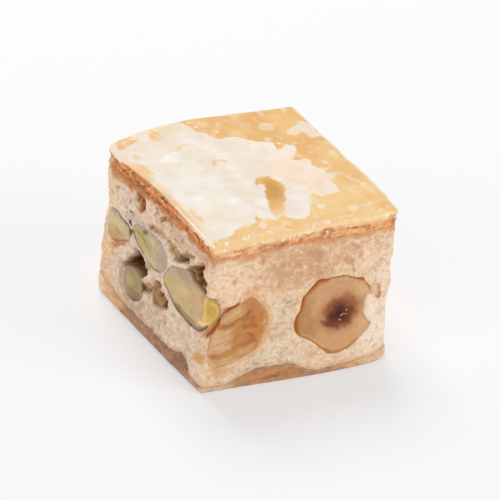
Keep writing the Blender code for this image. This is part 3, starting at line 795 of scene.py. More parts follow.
PASTE_MARKS = (
    # the front
    ((192, 142, 102), 0.55, oval((16.6, 19.6), (1.6, 0.8), -25, 1.3)),
    ((190, 138, 98), 0.5, oval((23.3, 19.3), (1.0, 0.35), -40, 1.1)),
    ((196, 146, 108), 0.45, oval((22.0, 17.3), (1.2, 0.5), -30, 1.3)),
    ((158, 138, 112), 0.6, oval((12.7, 12.6), (0.5, 0.2), 20)),
    ((158, 138, 112), 0.5, oval((13.7, 12.1), (0.35, 0.2))),
    ((166, 142, 116), 0.5, oval((12.1, 11.1), (0.3, 0.2), 30)),
    ((186, 140, 104), 0.5, oval((3.9, 17.6), (0.25, 0.5), 10)),
    ((182, 132, 92), 0.5, oval((8.2, 20.3), (0.3, 0.7), 10, 1.1)),
    ((188, 146, 112), 0.5, oval((11.3, 15.8), (0.4, 0.2), 0, 1.1)),
    ((218, 156, 108), 0.5, oval((6.6, 15.1), (0.9, 0.9), 0, 1.4)),
    ((214, 152, 100), 0.6, oval((3.0, 3.2), (1.5, 0.8), 0, 1.4)),
    ((222, 170, 122), 0.6, line(
        0.9, (7.4, 14.6), (9.2, 12.8), (10.0, 10.4), (9.7, 8.2), (8.4, 6.2), (6.6, 5.0), soft=1.0,
    )),
    ((176, 122, 84), 0.5, line(0.3, (23.2, 15.3), (22.9, 16.3), (22.6, 16.9))),
    ((244, 232, 212), 0.7, oval((13.4, 3.6), (0.35, 0.3))),
    ((150, 126, 98), 0.5, oval((8.3, 3.6), (0.6, 0.25), 10)),
    ((150, 126, 98), 0.5, oval((6.9, 2.9), (0.4, 0.2), 30)),
    ((182, 108, 52), 0.9, patch(
        (0.1, 10.5), (0.9, 11.6), (1.5, 12.3), (2.1, 12.5), (1.9, 11.3), (1.3, 10.0), (0.6, 9.7), soft=0.5,
    )),
    # the crevice beside the broken hazelnut: orange-brown crumbs with a darker core line of painted shade
    ((182, 110, 62), 0.9, line(0.7, *CREVICE)), ((120, 62, 32), 0.6, line(0.22, *CREVICE, soft=1.0)),
    ((184, 110, 70), 0.8, oval((2.7, 13.6), (0.6, 0.4), 30)),
    ((190, 124, 80), 0.7, oval((0.0, 10.0), (0.9, 0.4), 40, 1.1)),
    ((204, 150, 94), 0.8, oval((-1.2, 5.5), (1.6, 0.75), 20)),
    ((238, 206, 150), 0.8, oval((-0.6, 4.1), (0.7, 0.35), 15, 0.9)),
    # the far part of the left side
    ((226, 172, 112), 0.75, line(1.0, (-28.2, 8.8), (-26.8, 9.4))),
    ((178, 118, 64), 0.85, line(0.7, (-27.2, 9.5), (-26.0, 10.0), (-25.0, 10.8), (-23.4, 11.7))),
    ((172, 150, 136), 0.75, line(0.9, (-23.6, 5.4), (-23.9, 7.0), (-23.4, 8.2))),
    ((172, 144, 120), 0.6, line(1.1, (-23.4, 4.8), (-22.4, 3.7), (-20.2, 3.2), (-18.2, 3.8), (-17.0, 5.2))),
    ((128, 106, 90), 0.85, oval((-22.1, 17.7), (0.4, 0.25), 20, 0.9)),
    ((146, 126, 106), 0.6, oval((-23.2, 17.8), (0.3, 0.2), 0, 0.9)),
    ((160, 134, 104), 0.5, oval((-23.0, 16.2), (0.5, 0.25))),
    ((142, 112, 76), 0.85, oval((-21.9, 14.3), (0.7, 0.5), -20, 0.9)),
    ((194, 177, 170), 0.9, line(0.9, *LILAC_SKIN[:4])), ((214, 198, 182), 0.8, line(0.55, *LILAC_SKIN[3:])),
    ((206, 188, 176), 0.95, line(0.65, *SIDE_SKIN)), ((198, 182, 170), 0.95, line(0.65, *BETWEEN_SKIN)),
    ((86, 64, 56), 0.95, oval((-21.8, 15.95), (0.35, 0.4), 0, 0.8)),
    ((216, 196, 176), 0.8, oval((-12.6, 17.3), (1.0, 0.5), -10)),
    # under the toasted band
    ((180, 110, 58), 0.95, line(1.3, (-27.6, 21.5), (-25.6, 21.9), (-23.8, 21.8), (-22.4, 21.6), soft=1.0)),
    ((158, 96, 52), 0.9, patch(*BROWN_PATCH, soft=0.7)),
    ((138, 78, 36), 0.85, oval((-19.4, 20.7), (0.9, 0.45), -8)),
    ((140, 84, 44), 0.75, oval((-19.3, 19.6), (0.6, 0.4))),
    ((228, 198, 176), 0.9, line(0.9, *PALE_RIDGE)),
    ((150, 92, 52), 0.75, line(0.5, (-15.3, 21.6), (-14.4, 21.2))),
    ((158, 104, 72), 0.8, line(0.55, (-13.5, 20.9), (-12.3, 21.5), (-10.6, 22.0))),
    ((176, 124, 88), 0.7, line(0.9, (-16.2, 18.0), (-14.6, 18.4), (-12.8, 18.5))),
    ((206, 158, 118), 0.4, oval((-25.8, 21.4), (2.4, 0.6), 8, 1.2)),
    ((186, 128, 82), 0.6, oval((-27.5, 20.8), (1.4, 0.6), 10, 1.3)),
    ((188, 140, 108), 0.5, oval((-2.0, 21.2), (2.0, 0.6), 10, 1.2)),
    # the crevices over and under the pistachios: their dark tones are partly the crumbs' own brown and partly
    # painted shade, darkest in the cavity and the upper crevice
    ((170, 140, 94), 0.9, patch(*OLIVE_HOLLOW, soft=0.7)),
    ((110, 78, 42), 0.7, oval((-8.3, 17.8), (0.8, 0.5), 30)),
    ((132, 94, 70), 0.75, line(0.6, (-7.5, 18.4), (-6.6, 18.8), (-5.6, 19.3), (-4.9, 19.8))),
    ((134, 92, 44), 0.95, patch(*DARK_HOLLOW, soft=0.5)),
    ((84, 50, 24), 0.8, line(0.7, (-4.6, 17.0), (-3.2, 17.3), (-2.0, 16.8))),
    ((60, 34, 14), 0.95, line(0.45, *UPPER_CREVICE)), ((150, 98, 56), 0.9, line(0.6, *DIAGONAL_CREVICE)),
    ((222, 164, 104), 0.95, oval((-3.0, 19.1), (1.1, 0.7), 30)),
    ((168, 128, 62), 0.6, oval((-2.4, 17.9), (0.4, 0.9), 20)),
    ((142, 98, 84), 0.85, oval((-1.5, 17.5), (0.6, 0.7), -20)),
    ((230, 218, 202), 0.95, line(0.5, *WHITE_SKIN)),
    ((152, 126, 92), 0.8, line(0.5, (-9.8, 16.7), (-8.7, 16.9), (-7.9, 17.3))),
    ((200, 184, 142), 0.7, oval((-6.4, 17.9), (0.5, 0.25), 30, 0.9)),
    ((112, 54, 16), 0.95, patch(*CAVITY, soft=0.5)),
    ((60, 30, 14), 0.9, oval((-18.9, 10.5), (1.8, 1.3), -10)),
    ((152, 116, 80), 0.9, line(1.2, (-17.1, 7.6), (-15.5, 8.4), (-13.4, 9.5))),
    ((152, 116, 80), 0.9, line(1.4, (-14.0, 8.0), (-12.6, 8.4), (-11.5, 8.6))),
    ((132, 96, 62), 0.85, line(1.0, (-14.0, 7.2), (-12.4, 7.4), (-11.3, 8.0))),
    ((84, 50, 32), 0.95, oval((-13.5, 10.2), (0.9, 0.65), 30, 0.9)),
    ((86, 52, 28), 0.95, oval((-11.9, 8.8), (1.4, 0.7), -12, 0.9)),
    ((210, 192, 162), 0.75, line(0.6, (-16.8, 8.9), (-15.8, 9.3), (-14.9, 9.9))),
    ((184, 150, 120), 0.6, oval((-16.6, 11.5), (1.0, 0.35), 0, 1.1)),
    # the sides that the photo doesn't show
    ((170, 112, 70), 0.7, oval((40.0, 20.9), (2.0, 0.6), 5)),
    ((170, 112, 70), 0.7, oval((57.0, 20.6), (1.6, 0.7), -8)),
    ((170, 112, 70), 0.8, oval((73.0, 20.8), (2.1, 0.7), 4)),
    ((170, 112, 70), 0.7, oval((87.0, 20.4), (1.5, 0.9), -6)),
    # the dark insides of the two hidden hollows: the crumbs' brown and painted shade
    ((96, 58, 32), 0.9, oval((44.6, 17.2), (2.4, 1.1), 5, 0.8)),
    ((96, 58, 32), 0.9, oval((71.5, 15.0), (2.4, 1.2), -8, 0.8)),
    ((186, 136, 96), 0.5, oval((33.5, 8.0), (1.2, 2.2), 10, 1.3)),
    ((186, 136, 96), 0.5, oval((59.0, 14.0), (1.5, 0.9), 0, 1.3)),
)

# The hollows whose inside is loose crumbs, with how crumbly
CRUMBLY_HOLLOWS = (
    (0.6, patch(*OLIVE_HOLLOW, soft=0.8)), (1.0, patch(*DARK_HOLLOW, soft=0.8)),
    (0.35, oval((-9.5, 20.2), (6.5, 1.4), 6, 1.2)), (0.8, patch(*BROWN_PATCH, soft=0.8)),
    (0.8, line(1.4, (-17.1, 7.6), (-15.5, 8.4), (-13.4, 9.5))),
    (0.9, oval((-12.6, 8.8), (2.2, 1.4), -12)), (0.5, line(1.0, *DIAGONAL_CREVICE)),
    (0.7, line(1.2, (-13.5, 20.9), (-12.3, 21.5), (-10.6, 22.0))),
    (0.6, line(1.2, (-16.2, 18.0), (-12.8, 18.5))),
)


def loose_crumbs(along, up):
    """The grain of the loose crumbs in the hollows, high where a crumb stands out; the paint darkens the low
    grains and lightens the high ones as painted shade and light.
    """
    return lattice_noise(along, up, 0.45, 151) + 0.6 * lattice_noise(along, up, 0.28, 152)


def filling_depth(along, up):
    """How far the filling's surface lies inside the plain wall."""
    left = on_left(along)
    fine = crags(along, up, ((0.95, 0.07, 13), (0.5, 0.05, 14), (0.28, 0.035, 15)))
    depth = -crags(along, up, FILLING_CRAGS) - fine * (1.0 + 0.9 * left)
    pits = smooth_step((lattice_noise(along, up, 0.8, 16) - 0.55) / 0.35)
    depth = depth + pits * (0.05 + 0.15 * left)
    moved = wandering(along, up, 0.15, 200)
    for deep, shape in PRESSED:
        depth = depth + deep * shape(*moved)
    depth = depth - 0.14 * strongest(*moved, CRUMBLY_HOLLOWS) * loose_crumbs(*moved)
    for centre, bowl, radii in HOLLOWS.values():
        inside = nut_inside(*moved, centre, radii)
        depth = depth + bowl * smooth_step(inside / (0.55 * min(radii) + 0.6))
    for name, (centre, bowl) in NUTS.items():
        inside = nut_inside(along, up, centre, nut_radii(name))
        pocket = smooth_step((inside - 0.02) / 0.45)
        flush = np.maximum(depth, -0.04)
        flush = flush - np.maximum(flush - 0.02, 0) * smooth_step((0.5 - depth) / 0.3)
        depth = depth + (flush - depth) * smooth_step((inside + 0.55) / 0.5)
        depth = depth + (min(bowl, 1.5) - depth) * pocket
    return depth, pits


def filling_paint(along, up, pits):
    along, up = np.broadcast_arrays(along, up)
    left = on_left(along)
    colour = over(plain(FRONT_PASTE, up.shape), LEFT_PASTE, left)
    cloud = lattice_noise(along, up, 3.2, 110) + 0.6 * lattice_noise(along, up, 1.5, 111)
    colour = over(colour, FRONT_CLOUD, 0.45 * smooth_step(-cloud / 0.9) * (1 - left))
    colour = over(colour, LEFT_CLOUD, 0.45 * smooth_step(-cloud / 0.9) * left)
    colour = painted(colour, along, up, PASTE_AREAS, 0.3, 210)
    grains = wandering(along + 0.4 * up, 1.2 * up - 0.3 * along, 0.3, 218)
    colour = crumbled(colour, *grains, ((LOW_GRAIN, 0.4), (HIGH_GRAIN, 0.45)), 112, (0.55, 0.3))
    coarse = smooth_step(lattice_noise(*grains, 0.7, 114) * 1.6 - 0.5)
    colour = over(colour, LEFT_GRAIN, 0.25 * left * coarse)
    flecks = smooth_step((lattice_noise(*grains, 0.3, 117) - 0.62) / 0.25)
    colour = over(colour, SUGAR_FLECK, 0.4 * flecks * (1 - 0.5 * left))
    # darker towards the base seam, more so on the left
    near_base = smooth_step(1.0 - (up - seam(BASE_EDGE, along)) / 0.9)
    colour = over(colour, DARKER_ABOVE_BASE, (0.35 + 0.25 * left) * near_base)
    below = seam(TOP_SEAM, along) - up + crags(along, up, ((1.5, 0.35, 115), (0.6, 0.25, 116))) + 0.2 * left
    colour = over(colour, TOASTED, 0.75 * smooth_step(1.0 - below / 0.9))
    colour = over(colour, DARK_TOASTED, 0.5 * left * smooth_step(1.0 - below / 0.5))
    # darker in the pits, which are also pressed in: partly the paste's own tone and partly painted shade,
    # stronger on the left
    colour = over(colour, SHADED_PIT, pits * (0.15 + 0.25 * left))
    colour = painted(colour, along, up, PASTE_MARKS)
    moved = wandering(along, up, 0.15, 200)
    crumbly = strongest(*moved, CRUMBLY_HOLLOWS)
    crumbs = loose_crumbs(*moved)
    # painted shade in the low crumbs and painted light on the high ones, following their relief
    colour = over(colour, SHADED_LOOSE_CRUMB, 0.6 * crumbly * smooth_step((-crumbs - 0.1) / 0.5))
    return over(colour, LIT_LOOSE_CRUMB, 0.6 * crumbly * smooth_step((crumbs - 0.1) / 0.5))


def make_filling(material):
    along = wall_columns()[None, :]
    low = seam(BASE_EDGE, along) - 0.3
    high = seam(TOP_SEAM, along) + 0.5
    rows = round((HEIGHT - SHEETS) / FINE_CELL)
    up = low + (high - low) * np.linspace(0.0, 1.0, rows)[:, None]
    depth, pits = filling_depth(along, up)
    depth = depth + 0.4 * smooth_step((up - high + 0.55) / 0.5) + 0.4 * smooth_step((low + 0.3 - up) / 0.3)
    count = along.shape[1]
    centres = [(0.0, 0.0, SEAM_INSIDE[0]), (0.0, 0.0, SEAM_INSIDE[1])]
    points = np.concatenate([wall_point(along, up, depth).reshape(-1, 3), centres])
    first_ring = np.arange(count)
    faces = [
        grid_quads(rows, count, True),
        fan(first_ring, rows * count, turned=True),
        fan(first_ring + (rows - 1) * count, rows * count + 1),
    ]
    light = wall_light(np.broadcast_to(along, up.shape))
    paint = base_colour(filling_paint(along, up, pits), light, FILLING_SHEEN).reshape(-1, 3)
    paint = np.concatenate([paint, paint[:1], paint[-1:]])
    add_piece("filling_paste", points, faces, paint, np.zeros(len(points)), material, "filling")


def make_flake(material):
    """The flake of filling that lies over the right edge of the front hazelnut."""
    outline = np.array(FLAKE_OUTLINE)
    centre = outline.mean(axis=0)
    offsets = outline - centre
    corners = np.arctan2(offsets[:, 1], offsets[:, 0]) % (2 * np.pi)
    order = np.argsort(corners)
    angle = np.arange(FLAKE_ANGLES) * 2 * np.pi / FLAKE_ANGLES
    radius = np.interp(angle, corners[order], np.hypot(*offsets.T)[order], period=2 * np.pi)
    share = np.linspace(0.0, 1.0, FLAKE_RINGS + 1)[1:, None]
    along = centre[0] + radius * share * np.cos(angle)
    up = centre[1] + radius * share * np.sin(angle)
    out = FLAKE_THICKNESS * np.sqrt(1 - 0.9 * share**8)
    out = out + crags(along, up, ((0.9, 0.05, 98), (0.35, 0.015, 99)))
    outside = wall_point(along, up, -out).reshape(-1, 3)
    inside = wall_point(along[-1], up[-1], FLAKE_BITE)
    ends = [wall_point(*centre, -FLAKE_THICKNESS), wall_point(*centre, FLAKE_BITE)]
    points = np.concatenate([outside, inside, ends])
    rings = FLAKE_RINGS + 1
    ring = np.arange(FLAKE_ANGLES)
    faces = [
        grid_quads(rings, FLAKE_ANGLES, True)[:, ::-1],
        fan(ring, rings * FLAKE_ANGLES),
        fan(ring + (rings - 1) * FLAKE_ANGLES, rings * FLAKE_ANGLES + 1, turned=True),
    ]
    grains = ((LOW_FLAKE_GRAIN, 0.4), (HIGH_FLAKE_GRAIN, 0.4))
    colour = crumbled(plain(FLAKE, up.shape), along, up, grains, 97)
    paint = base_colour(colour, FRONT_LIGHT, FILLING_SHEEN).reshape(-1, 3)
    paint = np.concatenate([paint, paint[-FLAKE_ANGLES:], paint[:1], paint[:1]])
    gloss = np.zeros(len(points))
    add_piece("flake_on_hazelnut", points, faces, paint, gloss, material, "filling_flake")


# The top sheet

# The toasted crumbs show past the left edge of the sheet: (how far to the back, how far to the right)
LEFT_FRAY = (
    (0, 0.0), (3, 0.1), (8, 0.3), (12, 0.45), (17, 0.75), (22, 0.8), (26, 0.75), (29, 0.3), (31, 0.0),
    (35, 0.0),
)

GOLD_AREAS = (
    ((250, 215, 152), 0.8, oval((21.3, 4.6), (3.8, 4.0), 0, 1.2)),
    ((238, 184, 118), 0.5, oval((28.4, 10.5), (1.8, 3.6), 0, 1.4)),
    ((238, 184, 112), 0.5, oval((22.0, 24.8), (3.2, 2.0), 0, 1.4)),
    ((240, 188, 124), 0.5, oval((20.0, 29.5), (5.0, 2.2), 0, 1.4)),
    ((252, 212, 150), 0.6, oval((28.5, 15.5), (1.6, 3.6), 0, 1.4)),
    ((246, 200, 134), 0.6, oval((17.5, 1.6), (5.0, 1.0), 0, 1.3)),
    ((253, 232, 198), 0.7, oval((19.0, 6.8), (1.2, 1.2))),
    ((252, 226, 184), 0.6, line(0.8, (27.0, 11.9), (28.3, 8.9), (29.3, 6.6))),
    ((246, 206, 160), 0.5, oval((4.5, 1.3), (4.0, 0.6), 10, 1.3)),
    ((246, 206, 150), 0.8, oval((14.5, 0.35), (16.0, 0.35), 0, 0.9)),
    ((230, 190, 146), 0.75, oval((0.5, 12.5), (1.0, 9.0), 0, 0.9)),
    ((255, 202, 142), 0.85, oval((1.2, 24.0), (1.2, 3.2), 0, 0.9)),
    ((250, 206, 132), 0.7, oval((27.2, 27.8), (1.8, 2.6), 0, 1.2)),
)
WHITE_AREAS = (
    ((245, 236, 221), 0.9, oval((5.5, 18.0), (3.8, 9.0), 0, 1.4)),
    ((243, 219, 185), 0.8, oval((9.6, 33.0), (4.4, 3.4), 0, 1.2)),
    ((245, 232, 211), 0.8, oval((5.0, 6.0), (4.0, 3.6), 0, 1.4)),
    ((249, 226, 200), 0.9, oval((21.6, 14.5), (4.2, 7.5), 0, 1.2)),
    ((246, 230, 210), 0.6, oval((15.0, 23.0), (4.0, 3.2), 0, 1.4)),
    ((250, 246, 240), 0.9, oval((6.8, 24.8), (1.9, 1.2), 20, 0.8)),
    ((250, 247, 242), 0.8, oval((4.6, 12.5), (1.0, 0.8), 0, 0.9)),
    ((250, 246, 240), 0.7, oval((9.0, 10.5), (1.1, 0.6), 30)),
    ((250, 244, 238), 0.8, oval((12.4, 9.0), (0.9, 0.9), 0, 0.9)),
    ((250, 246, 240), 0.6, oval((10.4, 14.6), (1.3, 0.5))),
    ((250, 244, 236), 0.6, oval((13.2, 18.6), (0.9, 0.9))),
)
# Golden marks in the white, with how golden they are, and white ones in the gold, with how white
GOLD_IN_WHITE = (
    (0.85, patch(
        (1.5, 31.0), (2.2, 30.6), (3.6, 31.4), (5.6, 32.0), (5.8, 33.0), (5.0, 33.8), (2.5, 33.2), soft=0.5,
    )),
    (0.9, patch((7.0, 30.8), (7.8, 30.2), (8.7, 30.9), (8.9, 32.6), (8.2, 33.5), (7.3, 32.8), soft=0.4)),
    (0.55, line(0.6, (8.6, 26.4), (9.6, 27.0), (10.6, 27.4))),
    (0.9, line(0.55, (11.3, 20.4), (11.9, 21.2), (12.8, 21.3), (13.3, 20.6))),
    (0.7, oval((2.1, 8.7), (0.5, 1.9), -4, 0.9)), (0.8, oval((2.0, 24.2), (0.7, 2.3), 6, 0.9)),
    (0.4, oval((1.5, 17.5), (0.5, 2.6))), (0.8, oval((0.8, 12.0), (0.8, 8.0), 0, 1.1)),
    (0.85, oval((1.0, 23.0), (0.8, 4.0), 0, 1.1)), (0.5, oval((2.9, 27.6), (0.5, 0.9))),
)
WHITE_IN_GOLD = (
    (0.45, oval((24.0, 27.3), (1.25, 1.1), 0, 0.5)), (0.6, oval((14.2, 31.0), (0.4, 0.4), 0, 0.6)),
    (0.85, patch(
        (26.0, 24.2), (26.5, 23.5), (28.0, 24.0), (28.5, 22.0), (30.0, 21.8), (30.4, 25.5), (29.6, 26.8),
        (28.0, 26.0), (26.6, 25.3), soft=0.35,
    )),
    (0.45, oval((29.3, 16.8), (0.5, 1.0))), (0.5, oval((26.2, 11.6), (0.5, 0.5), 0, 0.9)),
    (0.5, oval((28.5, 7.5), (0.45, 0.5), 0, 0.8)), (0.85, oval((20.0, 4.7), (0.5, 0.6), 0, 0.5)),
    (0.6, oval((24.0, 2.8), (0.8, 0.6), 0, 0.7)), (0.75, oval((9.8, 3.3), (0.5, 0.8), -20, 0.6)),
    (0.5, oval((22.4, 24.0), (0.5, 0.5), 0, 0.8)), (0.35, oval((26.8, 15.0), (0.4, 0.5))),
    (0.4, oval((12.4, 2.4), (0.9, 0.25), 15, 0.9)), (0.35, oval((17.6, 30.4), (0.5, 0.35), 0, 0.9)),
    (0.35, oval((20.6, 28.6), (0.35, 0.35), 0, 0.9)), (0.3, oval((16.6, 28.8), (0.4, 0.6), 0, 0.9)),
)
GLINTS = (
    (0.95, line(1.3, (2.6, 1.0), (5.0, 1.3), (8.0, 1.3))), (0.8, line(0.9, (9.0, 1.3), (14.0, 1.0))),
    (0.9, line(0.9, (15.5, 0.8), (24.0, 0.9))), (0.7, line(0.6, (25.0, 0.8), (29.0, 0.8))),
)
RIM_MARKS = (
    ((248, 186, 134), 0.85, oval((3.8, 22.0), (3.6, 0.7), -6, 0.9)),
    ((196, 128, 84), 0.75, oval((8.5, 22.3), (1.8, 0.5))),
    ((150, 96, 82), 0.9, oval((11.1, 22.0), (0.9, 0.35))),
    ((244, 180, 122), 0.85, oval((14.0, 22.2), (3.2, 0.5))),
    ((204, 134, 82), 0.75, oval((18.0, 22.4), (1.2, 0.85))),
    ((240, 178, 112), 0.85, oval((22.5, 22.3), (1.8, 0.8))),
    ((238, 172, 112), 0.9, oval((26.5, 21.5), (3.2, 0.8), 0, 1.1)),
    ((247, 213, 164), 0.8, oval((26.5, 22.9), (3.4, 0.5), 0, 1.1)),
    ((168, 100, 58), 0.4, line(0.3, (0.6, 22.0), (2.4, 21.9), (4.6, 21.8), (6.2, 22.1))),
    ((234, 186, 138), 0.7, oval((6.5, 23.1), (5.0, 0.45))),
    ((172, 104, 62), 0.5, line(0.3, (12.5, 22.0), (15.4, 21.9), (17.6, 22.0))),
)
RIM_GLINTS = (
    (1.0, line(0.7, (11.0, 22.9), (14.0, 23.0), (17.0, 23.1))),
    (0.9, line(0.9, (18.4, 22.4), (21.8, 22.7))), (0.6, line(0.6, (1.5, 23.2), (9.5, 23.1))),
    (0.7, line(0.5, (23.0, 23.1), (28.0, 23.2))), (0.6, line(0.5, (3.0, 22.3), (7.0, 22.5))),
)
NEAR_GOLD = (249, 206, 145)
FAR_GOLD = (244, 194, 130)
DEEP_GOLD = (236, 178, 108)
PALE_GOLD = (254, 228, 176)
GOLD_SPOT = (255, 234, 194)
MATT_WHITE = (241, 229, 215)
LOW_WHITE = (238, 218, 192)
HIGH_WHITE = (249, 244, 236)
COMMA_GOLD = (238, 186, 116)
COMMA_HEART = (218, 160, 86)
RIM_GOLD = (246, 208, 160)
RIM_AMBER = (230, 168, 108)
AMBER_STREAK = (164, 92, 46)
PALE_STREAK = (248, 208, 156)
LOW_RIM_GRAIN = (166, 98, 56)
HIGH_RIM_GRAIN = (240, 188, 134)
CRUMB = (202, 126, 72)
DARK_CRUMB = (130, 66, 30)
LIGHT_CRUMB = (226, 160, 98)
BURNT_CRUMB = (140, 76, 40)
LIT_FAR_CRUMB = (224, 184, 146)
TOP_CRUMB = (236, 204, 164)
GLINT = (255, 250, 240)


def glint_spots(along, up):
    """Small bright spots and squiggles, where the syrup catches the light."""
    wave = np.abs(lattice_noise(along, up, 0.7, 144) + 0.5 * lattice_noise(along, up, 0.35, 145))
    return smooth_step((0.26 - wave) / 0.12) * smooth_step(lattice_noise(along, up, 0.9, 146) * 3.0 + 1.4)


def top_masks(right, back):
    """How white, how much comma and how frayed each place of the top is."""
    moved = wandering(right, back, 0.2, 220)
    comma = patch(*COMMA, soft=0.5)(*moved) * (1 - 0.7 * smooth_step((8.0 - back) / 4.0))
    gold = np.maximum(strongest(*moved, GOLD_IN_WHITE), comma)
    white = np.maximum(patch(*WHITE_PATCH, soft=0.22)(*moved) * (1 - gold), strongest(*moved, WHITE_IN_GOLD))
    places, widths = np.array(LEFT_FRAY).T
    fray = smooth_step((np.interp(moved[1], places, widths) - right) / 0.3 + 0.5) * smooth_step(back - 0.3)
    return white * (1 - fray), comma, fray * smooth_step((32.0 - back) / 2.0)


def top_paint(right, back, white, comma, fray):
    far = smooth_step((back - 8.0) / 16.0)
    colour = over(plain(NEAR_GOLD, right.shape), FAR_GOLD, far)
    cloud = lattice_noise(right, back, 2.6, 120) + 0.6 * lattice_noise(right, back, 1.2, 121)
    colour = over(colour, DEEP_GOLD, 0.5 * smooth_step(cloud / 0.9))
    colour = over(colour, PALE_GOLD, 0.5 * smooth_step(-cloud / 0.9 - 0.2))
    spots = lattice_noise(*wandering(right, back, 0.3, 222), 0.9, 122)
    colour = over(colour, GOLD_SPOT, 0.55 * smooth_step((spots - 0.35) / 0.35))
    colour = painted(colour, right, back, GOLD_AREAS, 0.3, 230)
    matt = painted(plain(MATT_WHITE, right.shape), right, back, WHITE_AREAS, 0.35, 232)
    matt = crumbled(matt, right, back, ((LOW_WHITE, 0.4), (HIGH_WHITE, 0.4)), 124, (2.2, 1.0))
    colour = over(colour, matt, white)
    heart = oval((15.7, 11.2), (1.3, 2.8), -24, 1.2)(right, back)
    colour = over(colour, over(plain(COMMA_GOLD, right.shape), COMMA_HEART, heart), comma)
    colour = over(colour, GLINT, strongest(right, back, GLINTS) * glint_spots(right, back))
    tones = ((DARK_CRUMB, 0.7), (LIGHT_CRUMB, 0.7))
    crumbs = crumbled(plain(CRUMB, right.shape), right, back, tones, 126, (0.6, 0.32))
    return over(colour, crumbs, fray)


def blisters(x, y):
    """Low round blisters in the golden sheet, at seeded places."""
    draws = np.random.default_rng(BLISTER_SEED)
    height = np.zeros(x.shape)
    for centre_x, centre_y, radius in zip(
        draws.uniform(-14, 14, BLISTERS), draws.uniform(-14, 16, BLISTERS), draws.uniform(0.3, 1.0, BLISTERS)
    ):
        away = np.hypot(x - centre_x, y - centre_y) / radius
        height = np.maximum(height, radius * 0.07 * smooth_step(1.0 - away))
    return height


def top_grid():
    """A grid over the top whose edge lies on the rim, with the places of its edge points round the piece."""
    share = np.linspace(0.0, 1.0, TOP_CELLS + 1)
    front, right, back, left = (start + share * length for start, length in zip(SIDE_STARTS, SIDE_LENGTHS))
    edges = (front, right, back[::-1], left[::-1])
    near, beside, behind, across = (wall_point(edge, HEIGHT)[:, :2] for edge in edges)
    u = share[None, :, None]
    v = share[:, None, None]
    plan = (
        (1 - v) * near[None] + v * behind[None] + (1 - u) * across[:, None] + u * beside[:, None]
        - (1 - u) * (1 - v) * near[0] - u * (1 - v) * near[-1] - (1 - u) * v * behind[0] - u * v * behind[-1]
    )
    numbers = np.arange((TOP_CELLS + 1) ** 2).reshape(TOP_CELLS + 1, TOP_CELLS + 1)
    loop = np.concatenate([numbers[0, :-1], numbers[:-1, -1], numbers[-1, :0:-1], numbers[:0:-1, 0]])
    along = np.concatenate([front[:-1], right[:-1], back[:-1], left[:-1]])
    return plan, loop, along


def crumb_place(along, up):
    """Slanted and shaken coordinates, so that the toasted crumbs lie in no rows."""
    return wandering(along * 0.9 + up * 0.3, up - along * 0.1, 0.4, 246)


def crumb_relief(along, up):
    return crags(*crumb_place(along, up), ((0.5, 0.12, 33), (0.3, 0.07, 34)))


def rim_paint(along, up):
    """The edge of the top sheet: golden above, amber and then toasted below, and crumbs only on the left."""
    left = on_left(along)
    below = HEIGHT - up + crags(along, up, ((1.3, 0.2, 41), (0.5, 0.14, 42)))
    colour = over(plain(RIM_GOLD, up.shape), RIM_AMBER, smooth_step((below - 0.55) / 0.5))
    colour = over(colour, TOASTED, 0.9 * smooth_step((below - 1.0) / 0.5))
    colour = painted(colour, along, up, RIM_MARKS, 0.15, 240)
    toasted = smooth_step((below - 0.8) / 0.5)
    streaks = lattice_noise(along * 0.5, up * 1.2 + along * 0.1, 0.5, 147)
    streaks = streaks + 0.5 * lattice_noise(along, up * 1.5, 0.4, 148)
    dark = 0.55 * smooth_step((below - 0.5) / 0.4) * smooth_step((streaks - 0.35) / 0.4)
    pale = 0.5 * smooth_step((below - 0.4) / 0.4) * smooth_step((-streaks - 0.4) / 0.4)
    colour = over(over(colour, AMBER_STREAK, dark), PALE_STREAK, pale)
    grain = lattice_noise(along, up, 0.55, 130) + 0.7 * lattice_noise(along, up, 0.3, 131)
    colour = over(colour, LOW_RIM_GRAIN, 0.4 * toasted * smooth_step((-grain - 0.3) / 0.6))
    colour = over(colour, HIGH_RIM_GRAIN, 0.4 * toasted * smooth_step((grain - 0.3) / 0.6))
    colour = over(colour, GLINT, strongest(along, up, RIM_GLINTS) * glint_spots(along, up))
    tones = ((DARK_CRUMB, 0.8), (LIGHT_CRUMB, 0.75))
    crumbs = crumbled(plain(CRUMB, up.shape), *crumb_place(along, up), tones, 132, (0.5, 0.3))
    crumbs = over(crumbs, BURNT_CRUMB, 0.6 * oval((-20.4, 23.2), (1.8, 0.8))(along, up))
    # lighter crumbs towards the far-left corner: partly painted light, where the rounded corner catches light
    # from behind
    crumbs = over(crumbs, LIT_FAR_CRUMB, 0.7 * smooth_step((-way_from(along, 0.0) - 27.0) / 3.0))
    crumbs = over(crumbs, TOP_CRUMB, smooth_step((0.4 - below) / 0.25))
    return over(colour, crumbs, left)


